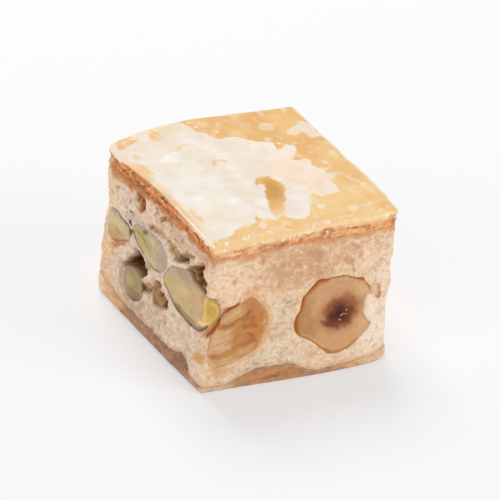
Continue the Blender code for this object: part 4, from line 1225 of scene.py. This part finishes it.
def make_top(material):
    plan, loop, along = top_grid()
    x, y = plan[..., 0], plan[..., 1]
    right, back = x - TOP_CORNERS[0, 0], y - TOP_CORNERS[0, 1]
    white, comma, fray = top_masks(right, back)
    grid_share = np.linspace(-1.0, 1.0, TOP_CELLS + 1)
    edge_share = np.maximum(np.abs(grid_share[None, :]), np.abs(grid_share[:, None]))
    inward = (1 - edge_share) * SIDE_LENGTHS[0] / 2
    waves = crags(x, y, TOP_WAVES) + crags(x, y, ((1.6, 0.03, 22), (0.6, 0.012, 23)))
    relief = waves + 0.06 * white + blisters(x, y) * (1 - white) - 0.07 * comma
    relief = relief * (1 - edge_share**24) - 0.2 * fray + fray * crumb_relief(right, back)
    relief = relief - RIM_ROUND * np.clip(1 - inward / RIM_ROUND_REACH, 0, 1) ** 2
    height = lowered(x, y, HEIGHT) + relief
    top_points = np.concatenate([plan, height[..., None]], axis=-1).reshape(-1, 3)

    ragged = 0.12 * lattice_noise(along, along * 0, 1.1, 35) + 0.08 * lattice_noise(along, along * 0, 0.5, 36)
    low = seam(TOP_SEAM, along) + ragged
    drop = np.linspace(0.0, 1.0, RIM_ROWS + 1)[1:, None]
    start = HEIGHT - RIM_ROUND
    up = start - (start - low)[None, :] * drop
    along_rows = np.broadcast_to(along, up.shape)
    toasted = smooth_step((HEIGHT - up - 0.7) / 0.5)
    left = on_left(along_rows)
    beads = smooth_step(lattice_noise(along_rows, up, 0.8, 32) * 1.4 - 0.1) * (1 - toasted) * (1 - left)
    out = crags(along_rows, up, EDGE_CRAGS) + 0.1 * beads + 0.1 - 0.12 * toasted
    out = out + crumb_relief(along_rows, up) * np.maximum(0.7 * toasted, left) - 0.15 * left
    out = out * smooth_step((HEIGHT - up) / 0.3) - 0.35 * smooth_step((low + 0.25 - up) / 0.25)
    inner = wall_point(along, low, SHEET_LAP)
    count = len(along)
    wall_start = len(top_points)
    rim_points = wall_point(along_rows, up, -out).reshape(-1, 3)
    points = np.concatenate([top_points, rim_points, inner, [(0.0, 0.0, SEAM_INSIDE[1])]])
    rings = np.arange((RIM_ROWS + 1) * count).reshape(RIM_ROWS + 1, count) + wall_start
    faces = [
        grid_quads(TOP_CELLS + 1, TOP_CELLS + 1, False),
        ring_quads(np.concatenate([loop[None], rings])),
        fan(rings[-1], len(points) - 1, turned=True),
    ]
    light = TOP_LIGHT - RIM_SHADE * np.clip(1 - inward / RIM_ROUND_REACH, 0, 1) ** 2
    sheen = SHEEN + (GLAZE_SHEEN - SHEEN) * (1 - white)[..., None]
    top_colour = base_colour(top_paint(right, back, white, comma, fray), light, sheen).reshape(-1, 3)
    rim_colour = base_colour(rim_paint(along_rows, up), wall_light(along_rows), GLAZE_SHEEN).reshape(-1, 3)
    paint = np.concatenate([top_colour, rim_colour, rim_colour[-count:], rim_colour[-1:]])
    rim_gloss = np.where(left > 0.5, 0.15, 1.0)
    gloss = np.concatenate([((1 - white) * (1 - fray)).ravel(), rim_gloss.ravel(), np.zeros(count + 1)])
    add_piece("top_sheet", points, faces, paint, gloss, material, "pastry_top")


# The base sheet

FRONT_BASE = (196, 148, 106)
LEFT_BASE = (162, 119, 88)
LOW_BASE_GRAIN = (150, 102, 70)
HIGH_BASE_GRAIN = (226, 180, 138)
BASE_RIM = (200, 164, 132)
FOOT_CONTACT_SHADOW = (112, 76, 52)
BASE_GLOSS = 0.5
BASE_AREAS = (
    ((232, 196, 154), 0.9, oval((28.8, 1.0), (3.4, 1.6))),
    ((222, 190, 158), 0.95, oval((1.4, 0.6), (2.8, 1.4), 0, 0.9)),
    ((186, 132, 90), 0.9, oval((10.5, 1.8), (4.4, 1.6), 0, 1.1)),
    ((180, 130, 92), 0.85, oval((18.0, 0.8), (3.4, 1.0), 0, 1.2)),
    ((226, 192, 150), 0.9, oval((27.0, 1.2), (4.4, 1.6), 0, 1.2)),
    ((192, 150, 112), 0.8, oval((-2.6, 1.3), (1.6, 1.0), 0, 1.1)),
    # lighter towards the far-left corner: the base's tone with painted light, where the rounded corner
    # catches light from behind
    ((224, 172, 120), 0.9, oval((-26.0, 1.8), (3.6, 2.2))),
    ((238, 208, 172), 0.95, oval((-30.6, 2.0), (2.4, 2.6), 0, 0.9)),
    ((132, 90, 62), 0.9, oval((-5.5, 2.4), (2.2, 1.6), 0, 1.1)),
    ((144, 102, 72), 0.8, oval((-11.0, 1.4), (4.0, 1.2), 0, 1.1)),
)
BASE_MARKS = (
    ((158, 130, 104), 0.5, oval((11.0, 2.7), (3.2, 0.3))),
    ((140, 90, 56), 0.55, line(0.4, (9.3, 1.0), (10.4, 1.15), (11.6, 1.0), soft=1.0)),
    ((206, 144, 90), 0.7, line(0.5, (7.0, 1.3), (9.0, 1.7), (12.0, 1.9), (14.5, 1.5))),
    ((140, 98, 70), 0.45, line(0.4, (13.5, 1.9), (15.5, 1.5), soft=1.0)),
    ((222, 166, 110), 0.5, line(0.4, (20.0, 0.8), (24.0, 0.9), (28.0, 1.2))),
    ((112, 74, 50), 0.85, oval((-23.0, 0.6), (0.5, 0.35), 0, 0.9)),
    # a thin dark line along the foot of the left side: painted contact shadow
    ((126, 86, 64), 0.6, line(0.35, (-20.0, 0.4), (-12.0, 0.35), (-4.0, 0.4), (-0.5, 0.3))),
    ((176, 132, 102), 0.6, line(0.4, (-18.0, 1.5), (-12.0, 1.4), (-8.0, 1.6))),
)


def base_paint(along, up):
    left = on_left(along)
    colour = over(plain(FRONT_BASE, up.shape), LEFT_BASE, left)
    colour = painted(colour, along, up, BASE_AREAS, 0.3, 250)
    grains = ((LOW_BASE_GRAIN, 0.28), (HIGH_BASE_GRAIN, 0.3))
    colour = crumbled(colour, *wandering(along, up * 1.4, 0.2, 254), grains, 134, (0.8, 0.35))
    colour = painted(colour, along, up, BASE_MARKS, 0.12, 252)
    colour = over(colour, BASE_RIM, 0.35 * smooth_step(1 - (seam(BASE_EDGE, along) - up) / 0.4))
    # painted contact shadow: darker along the bottom 0.35 mm, where the base meets the floor
    return over(colour, FOOT_CONTACT_SHADOW, 0.5 * smooth_step(1 - up / 0.35))


def make_base(material):
    along = wall_columns()
    high = seam(BASE_EDGE, along) + 0.12 * lattice_noise(along, along * 0, 0.7, 71)
    share = np.linspace(0.0, 1.0, BASE_ROWS + 1)[:, None]
    up = high[None, :] * share
    along_rows = np.broadcast_to(along, up.shape)
    out = crags(along_rows, up, EDGE_CRAGS) + crags(along_rows, up * 1.5, ((0.9, 0.07, 72), (0.45, 0.04, 73)))
    rounded = 0.3 * np.clip(1 - (high - up) / 0.4, 0, 1) ** 2
    walls = wall_point(along_rows, up, rounded - out * smooth_step(up / 0.5) - 0.04)
    inner = wall_point(along, high, SHEET_LAP)
    inner[:, 2] += 0.05
    count = len(along)
    points = np.concatenate([walls.reshape(-1, 3), inner, [(0.0, 0.0, 0.0), (0.0, 0.0, SEAM_INSIDE[0])]])
    rings = np.arange((BASE_ROWS + 2) * count).reshape(BASE_ROWS + 2, count)
    faces = [
        ring_quads(rings)[:, ::-1],
        fan(rings[0], len(points) - 2, turned=True),
        fan(rings[-1], len(points) - 1),
    ]
    paint = base_colour(base_paint(along_rows, up), wall_light(along_rows), GLAZE_SHEEN).reshape(-1, 3)
    paint = np.concatenate([paint, paint[-count:], paint[:1], paint[-1:]])
    gloss = np.concatenate([np.full(up.size, BASE_GLOSS), np.zeros(count + 2)])
    add_piece("base_sheet", points, faces, paint, gloss, material, "pastry_bottom")


# The nuts: each has its own tone, what is painted on its cut face, and what is pressed in or stands out

def hidden_pistachio(along, up):
    """The look of a pistachio on a side that the photo doesn't show, round its middle."""
    return (196, 170, 127), (
        ((190, 166, 103), 0.9, oval((along - 1.9, up), (2.8, 1.2), 12)),
        ((182, 157, 139), 0.9, oval((along + 2.7, up + 1.0), (2.2, 1.2), -10)),
        ((118, 88, 70), 0.85, line(
            0.4, (along - 4.3, up - 1.2), (along - 2.1, up - 2.4), (along + 1.1, up - 2.7),
            (along + 3.7, up - 1.8),
        )),
    ), (
        (0.14, line(0.4, (along - 3.1, up + 0.6), (along - 0.1, up - 0.2), (along + 2.5, up - 0.6))),
        (-0.14, oval((along, up - 0.6), (2.4, 1.2), 0, 1.2)),
    )


def hidden_hazelnut(along, up):
    """The look of a hazelnut on a side that the photo doesn't show, round its heart."""
    return (along, up), (203, 157, 116), (
        ((216, 172, 130), 0.8, oval((along + 3.2, up + 2.1), (2.2, 2.6), 0, 1.2)),
    ), (
        ((152, 90, 50), 0.85, line(
            0.7, (along + 1.4, up + 5.7), (along + 3.8, up + 4.7), (along + 5.6, up + 2.7),
        )),
        ((112, 66, 46), 0.85, line(
            0.4, (along - 2.2, up - 1.3), (along - 0.8, up - 1.9), (along + 0.4, up - 2.3),
        )),
    )


PISTACHIO_LOOKS = {
    "pistachio_corner": (
        (198, 166, 116),
        (
            ((192, 170, 110), 0.9, oval((-10.3, 12.7), (1.9, 1.2), 30, 1.1)),
            ((206, 164, 130), 0.6, oval((-3.0, 13.4), (1.4, 1.6), 0, 1.2)),
            ((176, 148, 124), 0.95, oval((-6.6, 16.0), (3.9, 1.2), 6, 0.9)),
            ((192, 164, 142), 0.8, oval((-9.8, 14.6), (1.4, 0.9), 35)),
            ((188, 168, 112), 0.7, oval((-6.2, 11.5), (1.0, 0.8), 0, 1.1)),
            ((190, 168, 116), 0.6, oval((-3.5, 10.7), (1.3, 0.5), -5, 1.1)),
            ((190, 172, 120), 0.6, oval((-8.5, 12.2), (0.9, 0.6), 0, 1.1)),
            ((214, 186, 134), 0.5, oval((-6.8, 13.5), (1.8, 0.7), 12, 1.2)),
            ((222, 184, 100), 0.95, patch(
                (-1.0, 15.6), (0.2, 15.8), (1.3, 15.2), (1.9, 13.8), (1.8, 12.8), (0.9, 12.0), (0.0, 11.2),
                (-0.8, 10.8), (-1.5, 11.5), (-1.2, 12.3), (-0.9, 14.0), soft=0.55,
            )),
            ((188, 144, 56), 0.5, oval((0.6, 13.9), (0.7, 1.3), 10, 1.1)),
            # a painted highlight along the facet's left edge
            ((236, 204, 146), 0.6, line(0.4, (-1.1, 14.6), (-1.0, 13.6), (-1.2, 12.6))),
            ((236, 206, 150), 0.8, line(0.5, (-2.0, 11.2), (-0.9, 11.1), (0.4, 11.6))),
            ((226, 192, 128), 0.6, line(0.25, (0.2, 15.1), (1.0, 14.6), (1.4, 13.8))),
            ((92, 60, 44), 0.95, line(
                0.8, (-11.4, 11.2), (-9.0, 9.8), (-6.5, 9.4), (-3.0, 9.25), (-1.0, 10.0), (0.3, 11.0),
            )),
            ((150, 116, 90), 0.55, line(
                0.9, (-10.6, 11.2), (-9.0, 10.2), (-6.5, 9.8), (-3.0, 9.7), (-1.4, 10.2),
            )),
        ),
        (
            (0.16, line(0.3, (-1.3, 15.4), (-1.1, 14.0), (-1.4, 12.4), (-1.7, 11.5))),
            (0.1, line(0.5, (-9.8, 13.4), (-7.0, 14.4), (-4.0, 14.8), (-2.2, 14.6))),
            (-0.18, oval((0.5, 13.6), (1.2, 1.8))), (-0.15, oval((-6.0, 12.2), (3.4, 1.4), 4, 1.2)),
            (0.16, line(0.35, (-7.6, 10.4), (-5.2, 10.2), (-3.0, 10.3))),
        ),
    ),
    "pistachio_middle": (
        (186, 164, 120),
        (
            ((184, 162, 98), 0.95, oval((-18.6, 14.7), (2.5, 1.1), -28)),
            ((180, 158, 138), 0.95, oval((-12.5, 14.6), (1.6, 2.6))),
            ((178, 154, 146), 0.85, line(1.0, (-20.2, 16.9), (-17.0, 17.2), (-14.0, 17.2), (-12.6, 16.6))),
            ((204, 182, 144), 0.6, oval((-15.6, 13.0), (1.8, 0.6), -6, 1.1)),
            ((136, 102, 68), 0.85, oval((-17.8, 16.4), (0.8, 0.35), 20, 0.9)),
            ((206, 188, 150), 0.5, oval((-15.0, 15.9), (1.6, 0.5), 0, 1.1)),
            ((92, 66, 46), 0.95, line(0.4, (-21.1, 15.0), (-20.2, 14.0), (-19.3, 13.5), (-18.2, 12.95))),
            ((130, 100, 70), 0.6, line(0.35, (-17.4, 12.5), (-15.0, 12.1), (-13.4, 12.4))),
            ((168, 146, 92), 0.5, line(0.4, (-19.8, 15.6), (-18.0, 15.2), (-16.4, 14.4))),
        ),
        (
            (0.14, line(0.35, (-19.8, 15.6), (-18.0, 15.2), (-16.4, 14.4))),
            (-0.15, oval((-15.0, 14.4), (2.0, 1.4), 0, 1.2)),
            (0.14, oval((-17.8, 16.4), (0.7, 0.3), 20)),
        ),
    ),
    "pistachio_edge": (
        (196, 168, 124),
        (
            ((202, 182, 128), 0.75, oval((-25.4, 13.9), (2.0, 1.0), 0, 1.1)),
            ((194, 146, 90), 0.95, oval((-26.3, 10.9), (3.2, 1.2), 18)),
            ((212, 188, 150), 0.6, oval((-28.2, 13.2), (1.2, 1.2), 0, 1.2)),
            ((102, 74, 80), 0.9, line(
                0.32, (-28.4, 14.9), (-26.5, 15.4), (-25.0, 15.1), (-23.0, 15.25), (-22.4, 15.0),
            )),
            ((168, 146, 140), 0.6, line(0.6, (-28.2, 14.4), (-26.4, 14.9), (-23.4, 14.8))),
            ((108, 72, 42), 0.9, oval((-21.9, 14.3), (0.4, 0.45), 0, 0.9)),
            ((158, 98, 54), 0.9, line(
                0.4, (-22.4, 12.5), (-23.5, 12.0), (-25.0, 11.2), (-26.5, 10.3), (-28.0, 10.2),
                (-29.3, 11.1),
            )),
        ),
        (
            (0.12, line(0.4, (-28.0, 12.4), (-25.6, 12.4), (-23.4, 13.0))),
            (-0.12, oval((-25.6, 13.8), (2.0, 0.8), 0, 1.1)),
        ),
    ),
    "pistachio_low": (
        (152, 134, 90),
        (
            ((158, 130, 110), 0.95, line(
                0.9, (-22.8, 4.9), (-23.1, 6.4), (-22.7, 7.8), (-21.6, 8.8), (-20.2, 9.1),
            )),
            ((148, 110, 76), 0.9, oval((-19.2, 4.6), (1.7, 1.0), 12)),
            ((82, 58, 42), 0.85, line(0.45, (-17.5, 8.2), (-17.4, 7.0), (-17.6, 5.8))),
            ((184, 166, 120), 0.6, oval((-20.8, 7.0), (1.1, 0.8), 20, 1.1)),
            ((120, 92, 72), 0.8, line(0.4, (-22.6, 4.5), (-21.6, 4.15), (-20.0, 3.95), (-18.6, 4.7))),
            ((126, 98, 66), 0.6, line(0.35, (-21.6, 5.4), (-20.2, 5.8), (-18.8, 5.6))),
        ),
        ((0.25, oval((-19.0, 5.2), (1.6, 1.0), 15, 1.1)), (-0.12, oval((-21.2, 7.2), (1.4, 1.2), 0, 1.1))),
    ),
    "pistachio_right": hidden_pistachio(38.5, 14.2), "pistachio_back": hidden_pistachio(68.5, 8.7),
}
GROOVE_HIGH = ((2.0, 10.85), (3.0, 10.7), (4.0, 10.8), (5.0, 11.3), (6.0, 11.9), (6.6, 12.4))
GROOVE_LOW = ((0.8, 6.0), (1.5, 5.9), (2.5, 6.15), (4.0, 6.5), (5.0, 6.9), (6.5, 7.3), (7.6, 7.6))
BROKEN_LOOK = (
    (202, 154, 108),
    (
        ((216, 178, 136), 0.9, oval((2.4, 8.6), (2.0, 2.2), 0, 1.1)),
        ((193, 137, 86), 0.9, oval((5.9, 9.6), (1.8, 2.8), -10)),
        ((196, 130, 76), 0.9, oval((8.2, 9.8), (1.5, 3.6), -6)),
        ((206, 162, 108), 0.85, oval((4.2, 5.4), (3.2, 0.9), 12)),
        ((193, 131, 86), 0.9, oval((6.8, 13.4), (2.0, 1.3))),
        ((206, 162, 110), 0.8, oval((4.0, 12.1), (2.0, 0.8), 25)),
        ((224, 186, 144), 0.6, line(0.3, (2.6, 11.9), (3.8, 12.5), (5.0, 13.2))),
        ((226, 190, 150), 0.6, line(0.35, (1.4, 9.4), (2.4, 9.8), (3.6, 9.8))),
        ((226, 190, 144), 0.5, line(0.3, (2.0, 5.4), (4.0, 5.7), (5.6, 6.3))),
        ((220, 164, 112), 0.6, line(0.4, (8.9, 8.2), (9.2, 9.8), (8.9, 11.4))),
        # the darker lines along the grooves between the lobes: the nut's brown with painted shade
        ((164, 100, 56), 0.75, line(0.7, *GROOVE_HIGH, soft=1.0)),
        ((170, 110, 64), 0.7, line(0.6, *GROOVE_LOW, soft=1.0)),
        ((176, 118, 74), 0.5, line(0.5, (3.0, 8.0), (4.2, 8.2), (5.4, 8.7), soft=1.0)),
        ((156, 96, 62), 0.5, line(0.45, (6.2, 9.9), (7.0, 10.05), (7.9, 10.0), soft=1.0)),
        ((150, 92, 60), 0.5, line(0.5, (6.8, 8.9), (7.5, 8.3), soft=1.0)),
        ((158, 100, 62), 0.5, line(0.45, (6.0, 11.0), (7.2, 11.2), soft=1.0)),
        ((150, 92, 54), 0.7, line(0.4, (1.2, 4.4), (3.0, 4.1), (5.0, 4.8), (7.0, 5.8), (8.2, 6.7))),
        ((162, 100, 58), 0.5, line(0.3, (9.4, 8.2), (9.6, 9.8), (9.4, 11.4), (8.8, 12.9))),
    ),
    (
        (-0.28, oval((4.0, 12.1), (2.5, 1.1), 25, 1.2)), (-0.3, oval((2.8, 8.5), (2.4, 2.2), 0, 1.2)),
        (-0.25, oval((4.3, 5.4), (3.8, 1.1), 12, 1.2)), (-0.25, oval((8.1, 9.8), (1.6, 3.8), -4)),
        (0.4, patch((4.6, 8.0), (7.2, 7.9), (7.5, 9.6), (7.3, 11.6), (6.4, 12.2), (4.9, 10.8), soft=1.0)),
        (0.16, line(0.8, *GROOVE_HIGH)), (0.14, line(0.8, *GROOVE_LOW)),
        (0.06, line(0.5, (6.2, 9.9), (7.9, 10.0))), (0.08, line(0.5, (3.0, 8.0), (4.2, 8.2), (5.4, 8.7))),
        (0.3, oval((7.0, 13.8), (1.6, 0.9), 0, 1.1)),
    ),
)
FRONT_HEART = (21.3, 9.3)
HAZELNUT_LOOKS = {
    "hazelnut_front": (
        FRONT_HEART, (208, 162, 120),
        (
            ((184, 136, 92), 0.9, oval((15.8, 9.2), (2.2, 4.0), 0, 1.1)),
            ((202, 158, 121), 0.85, oval((19.8, 13.4), (4.0, 1.6), -6, 1.2)),
            ((216, 173, 131), 0.9, oval((24.8, 9.4), (1.8, 4.4), 0, 1.1)),
            ((209, 161, 117), 0.8, oval((20.6, 4.8), (3.6, 1.5), 0, 1.2)),
            ((214, 174, 134), 0.55, oval((17.3, 10.8), (0.8, 1.8), -8, 1.1)),
        ),
        (
            ((172, 92, 36), 0.95, line(1.1, (14.9, 13.0), (16.0, 13.9), (17.2, 15.0), (18.6, 15.15))),
            ((128, 66, 28), 0.8, line(0.4, (14.9, 13.0), (16.0, 14.0), (17.2, 15.1), (18.6, 15.2))),
            ((166, 96, 46), 0.85, line(0.55, (18.6, 15.1), (20.4, 15.15), (22.4, 14.95))),
            ((162, 90, 40), 0.95, line(
                0.9, (14.3, 7.0), (13.85, 8.6), (14.1, 10.2), (14.8, 11.6), (14.9, 12.8),
            )),
            ((160, 94, 48), 0.85, line(0.5, (22.8, 14.6), (24.0, 14.1), (25.2, 13.6), (26.2, 12.0))),
            ((184, 118, 64), 0.85, line(
                0.7, (14.4, 7.0), (16.6, 5.6), (18.4, 4.0), (20.0, 3.1), (22.0, 3.2), (24.0, 4.2),
            )),
            ((232, 180, 124), 0.5, line(0.25, (15.2, 7.1), (17.0, 5.9), (18.8, 4.4))),
            ((112, 66, 46), 0.7, line(0.55, (18.2, 8.4), (19.0, 7.8), (19.8, 7.4), (20.8, 7.1), soft=1.0)),
            # painted highlights on the heart
            ((232, 206, 190), 0.7, line(0.14, (21.4, 8.5), (21.9, 8.7), (22.3, 8.6))),
            ((226, 196, 178), 0.7, oval((21.2, 8.0), (0.18, 0.1), 0, 0.8)),
            ((222, 190, 172), 0.6, oval((22.4, 9.2), (0.2, 0.1), 40, 0.8)),
        ),
    ),
    "hazelnut_right": hidden_hazelnut(50.2, 9.9), "hazelnut_back": hidden_hazelnut(80.9, 12.2),
}


# The marks of the scrap, and the tones and measures of the cut faces
SCRAP_MARKS = (
    ((206, 132, 70), 0.9, line(0.7, (27.7, 12.1), (27.8, 11.2), (27.5, 10.2))),
    ((228, 196, 164), 0.8, oval((26.5, 11.5), (0.6, 1.2))),
)
SCRAP = (216, 176, 142)
LOW_PISTACHIO = (172, 146, 92)
HIGH_PISTACHIO = (206, 182, 130)
PISTACHIO_RIM = (140, 108, 84)
RING = (180, 130, 88)
PALE_RAY = (228, 188, 148)
HEART_HALO = (172, 118, 82)
HEART_BROWN = (142, 84, 52)
HEART_DARK = (98, 60, 50)
HEART_CRUMB = (144, 90, 60)
HEART_DEEP = (70, 42, 34)
HEART_STRETCH = 1.1
HAZELNUT_RIM = (172, 118, 74)
DARK_FIBRE = (180, 118, 70)
PALE_FIBRE = (228, 184, 138)
FIBRE_TILT = 17
BROKEN_RIM = (212, 158, 112)
PASTED_RIM = (228, 192, 152)


def pistachio_face(name):
    """The depth and the paint of one pistachio's face."""
    tone, strokes, pressed = PISTACHIO_LOOKS[name]

    def face(along, up, share):
        depth = 0.06 * share**6 - 0.05 - crags(along, up, ((1.6, 0.07, 81), (0.6, 0.04, 82)))
        moved = wandering(along, up, 0.12, 260)
        depth = depth + sum(deep * shape(*moved) for deep, shape in pressed)
        grains = ((LOW_PISTACHIO, 0.5), (HIGH_PISTACHIO, 0.4))
        colour = crumbled(plain(tone, along.shape), along, up, grains, 136, (1.3, 0.5))
        colour = painted(colour, along, up, strokes, 0.12, 260)
        return depth, over(colour, PISTACHIO_RIM, 0.5 * smooth_step((share - 0.93) / 0.07))

    return face


def hazelnut_face(name):
    """The depth and the paint of a round cut hazelnut: rings round a dark hollow heart."""
    heart, tone, areas, strokes = HAZELNUT_LOOKS[name]

    def face(along, up, share):
        away = np.hypot(way_from(along, heart[0]) / HEART_STRETCH, up - heart[1])
        away = away + 0.3 * lattice_noise(along, up, 1.4, 88)
        low_away = np.hypot(way_from(along, heart[0] - 0.1) / HEART_STRETCH, up - heart[1] + 0.5)
        low_away = low_away + 0.25 * lattice_noise(along, up, 0.9, 89)
        rings = 0.5 + 0.5 * np.cos(away * 5.2 + 0.7 * lattice_noise(along, up, 2.0, 138))
        torn = lattice_noise(along, up, 0.8, 150) + 0.7 * lattice_noise(along, up, 0.4, 151)
        hollow = (0.3 + 0.1 * torn) * smooth_step((2.2 - away) / 1.8) + 0.1 * smooth_step((3.4 - away) / 1.6)
        depth = 0.10 * share**6 - 0.06 + hollow + 0.02 * rings
        depth = depth - crags(along, up, ((2.2, 0.07, 86), (0.7, 0.03, 87)))
        colour = painted(plain(tone, along.shape), along, up, areas, 0.3, 262)
        turn = np.arctan2(up - heart[1], way_from(along, heart[0]))
        rays = lattice_noise(turn * 12.0, away * 0.5, 0.5, 140)
        dark_rays = 0.07 * smooth_step(rays * 1.5) * smooth_step((away - 2.6) / 1.0)
        pale_rays = 0.1 * smooth_step(-rays * 1.5) * smooth_step((away - 2.8) / 1.0)
        for layer_tone, mask in (
            (RING, 0.1 * rings + dark_rays), (PALE_RAY, pale_rays),
            (HEART_HALO, 0.85 * smooth_step((3.9 - away + 0.15 * torn) / 1.9)),
            (HEART_BROWN, 0.85 * smooth_step((3.0 - away + 0.25 * torn) / 1.4)),
            (HEART_DARK, 0.9 * smooth_step((2.3 - low_away + 0.25 * torn) / 1.3)),
            (HEART_CRUMB, 0.4 * smooth_step(torn - 0.4) * smooth_step((1.8 - away) / 1.0)),
            (HEART_DEEP, 0.7 * smooth_step((1.2 - low_away + 0.4 * torn) / 0.9)),
        ):
            colour = over(colour, layer_tone, mask)
        colour = painted(colour, along, up, strokes, 0.1, 264)
        return depth, over(colour, HAZELNUT_RIM, 0.4 * smooth_step((share - 0.95) / 0.05))

    return face


def broken_face(along, up, share):
    """The depth and the paint of the split hazelnut: long lobes with grooves between them."""
    tone, strokes, pressed = BROKEN_LOOK
    tilt = math.radians(FIBRE_TILT)
    middle = NUTS["hazelnut_broken"][0]
    across = (up - middle[1]) * math.cos(tilt) - way_from(along, middle[0]) * math.sin(tilt)
    fibres = lattice_noise(way_from(along, middle[0]) * 0.35, across * 1.6, 0.7, 93)
    depth = 0.08 * share**6 - 0.04 - 0.02 * fibres - crags(along, up, ((1.4, 0.07, 142), (0.5, 0.04, 143)))
    moved = wandering(along, up, 0.15, 266)
    depth = depth + sum(deep * shape(*moved) for deep, shape in pressed)
    colour = painted(plain(tone, along.shape), along, up, strokes, 0.15, 266)
    colour = over(colour, DARK_FIBRE, 0.32 * smooth_step(-fibres * 1.2 - 0.1))
    colour = over(colour, PALE_FIBRE, 0.32 * smooth_step(fibres * 1.2 - 0.1))
    edge = smooth_step((share - 0.86) / 0.14)
    low_left = smooth_step((9.0 - up) / 3.0) * smooth_step((7.0 - along) / 3.0)
    colour = over(colour, BROKEN_RIM, 0.6 * edge * (1 - low_left))
    return depth, over(colour, PASTED_RIM, 0.75 * edge * low_left)


def scrap_face(along, up, share):
    """The depth and the paint of the scrap of skin: amber, with a darker right edge."""
    return 0.08 * share**3 - 0.1, painted(plain(SCRAP, along.shape), along, up, SCRAP_MARKS)


def make_nut(name, face, material, gloss=0.4, sheen=NUT_SHEEN):
    """One cut nut: a detailed face in the wall and a plain rounded rest behind it."""
    centre, bowl = NUTS[name]
    angle = np.arange(NUT_ANGLES) * 2 * np.pi / NUT_ANGLES
    radius = radius_at(nut_radii(name), angle)
    rim = (centre[0] + radius * np.cos(angle), centre[1] + radius * np.sin(angle))
    radius = radius + 0.06 * lattice_noise(*rim, 0.6, 80)
    share = np.linspace(0.0, 1.0, NUT_RINGS + 1)[1:, None] ** 0.8
    along = centre[0] + radius * share * np.cos(angle)
    up = centre[1] + radius * share * np.sin(angle)
    depth, colour = face(along, up, np.broadcast_to(share, along.shape))
    surface = wall_point(along, up, depth)
    edge = surface[-1]
    heart = edge.mean(axis=0)
    middle = wall_point(*centre, depth[0].mean())
    innermost = wall_point(*centre, bowl)
    turns = np.radians(np.linspace(0, 90, BOWL_RINGS + 1)[1:-1])[:, None, None]
    bowl_rings = heart + (edge - heart)[None] * np.cos(turns) + (innermost - heart) * np.sin(turns)
    points = np.concatenate([surface.reshape(-1, 3), bowl_rings.reshape(-1, 3), [middle, innermost]])
    rings = NUT_RINGS + len(bowl_rings)
    ring = np.arange(NUT_ANGLES)
    faces = [
        grid_quads(rings, NUT_ANGLES, True)[:, ::-1],
        fan(ring, rings * NUT_ANGLES),
        fan(ring + (rings - 1) * NUT_ANGLES, rings * NUT_ANGLES + 1, turned=True),
    ]
    paint = base_colour(colour, wall_light(along), sheen)
    behind = np.broadcast_to(paint[-1], (len(bowl_rings), NUT_ANGLES, 3))
    ends = np.stack([paint[0].mean(axis=0), paint[-1].mean(axis=0)])
    paint = np.concatenate([paint.reshape(-1, 3), behind.reshape(-1, 3), ends])
    add_piece(name + "_cut", points, faces, paint, np.full(len(points), gloss), material, name)


def make_nuts():
    pistachio = pistachio_material()
    for name in PISTACHIO_LOOKS:
        make_nut(name, pistachio_face(name), pistachio)
    hazelnut = hazelnut_material()
    for name in HAZELNUT_LOOKS:
        make_nut(name, hazelnut_face(name), hazelnut, 0.0, HAZELNUT_SHEEN)
    make_nut("hazelnut_broken", broken_face, hazelnut, 0.3, HAZELNUT_SHEEN)
    make_nut("skin_scrap", scrap_face, skin_material(), 0.4)


# The stage

def make_floor():
    material = bpy.data.materials.new("pale_floor")
    material.use_nodes = True
    shader = material.node_tree.nodes["Principled BSDF"]
    shader.inputs["Base Color"].default_value = FLOOR_TONE
    shader.inputs["Roughness"].default_value = 0.95
    shader.inputs["Specular IOR Level"].default_value = 0.1
    shader.inputs["Emission Color"].default_value = WHITE_LIGHT
    shader.inputs["Emission Strength"].default_value = FLOOR_GLOW
    mesh = bpy.data.meshes.new("floor")
    signs = ((-1, -1), (1, -1), (1, 1), (-1, 1))
    corners = [(across * FLOOR_HALF, back * FLOOR_HALF, 0) for across, back in signs]
    mesh.from_pydata(corners, [], [(0, 1, 2, 3)])
    mesh.materials.append(material)
    floor = bpy.data.objects.new("floor", mesh)
    bpy.context.scene.collection.objects.link(floor)


def add_area_light(name, place, size, power):
    data = bpy.data.lights.new(name, "AREA")
    data.shape = "SQUARE"
    data.size = size
    data.energy = power
    light = bpy.data.objects.new(name, data)
    light.location = place
    light.rotation_mode = "QUATERNION"
    light.rotation_quaternion = (-Vector(place)).to_track_quat("-Z", "Y")
    bpy.context.scene.collection.objects.link(light)


def make_light():
    world = bpy.context.scene.world or bpy.data.worlds.new("World")
    bpy.context.scene.world = world
    world.use_nodes = True
    background = world.node_tree.nodes["Background"]
    background.inputs["Color"].default_value = WHITE_LIGHT
    background.inputs["Strength"].default_value = SKY_LIGHT
    for name, place, size, power in LIGHTS:
        add_area_light(name, place, size, power)
    bpy.context.scene.view_settings.view_transform = "Standard"
    bpy.context.scene.view_settings.look = "None"


def make_camera():
    turns = (CAMERA_AZIMUTH, CAMERA_ELEVATION, CAMERA_ROLL)
    azimuth, elevation, roll = (math.radians(value) for value in turns)
    back = Vector((
        math.sin(azimuth) * math.cos(elevation), -math.cos(azimuth) * math.cos(elevation), math.sin(elevation)
    ))
    level = Vector((math.cos(azimuth), math.sin(azimuth), 0.0))
    upright = back.cross(level)
    right = level * math.cos(roll) + upright * math.sin(roll)
    upward = upright * math.cos(roll) - level * math.sin(roll)
    data = bpy.data.cameras.new("camera")
    data.sensor_width = CAMERA_SENSOR
    data.lens = CAMERA_LENS
    camera = bpy.data.objects.new("camera", data)
    turn = Matrix((right, upward, back)).transposed().to_4x4()
    camera.matrix_world = Matrix.Translation(Vector(CAMERA_AIM) + back * CAMERA_DISTANCE) @ turn
    bpy.context.scene.collection.objects.link(camera)
    bpy.context.scene.camera = camera


make_camera()
make_floor()
make_light()
filling = filling_material()
make_filling(filling)
make_flake(filling)
make_top(golden_material())
make_base(base_sheet_material())
make_nuts()
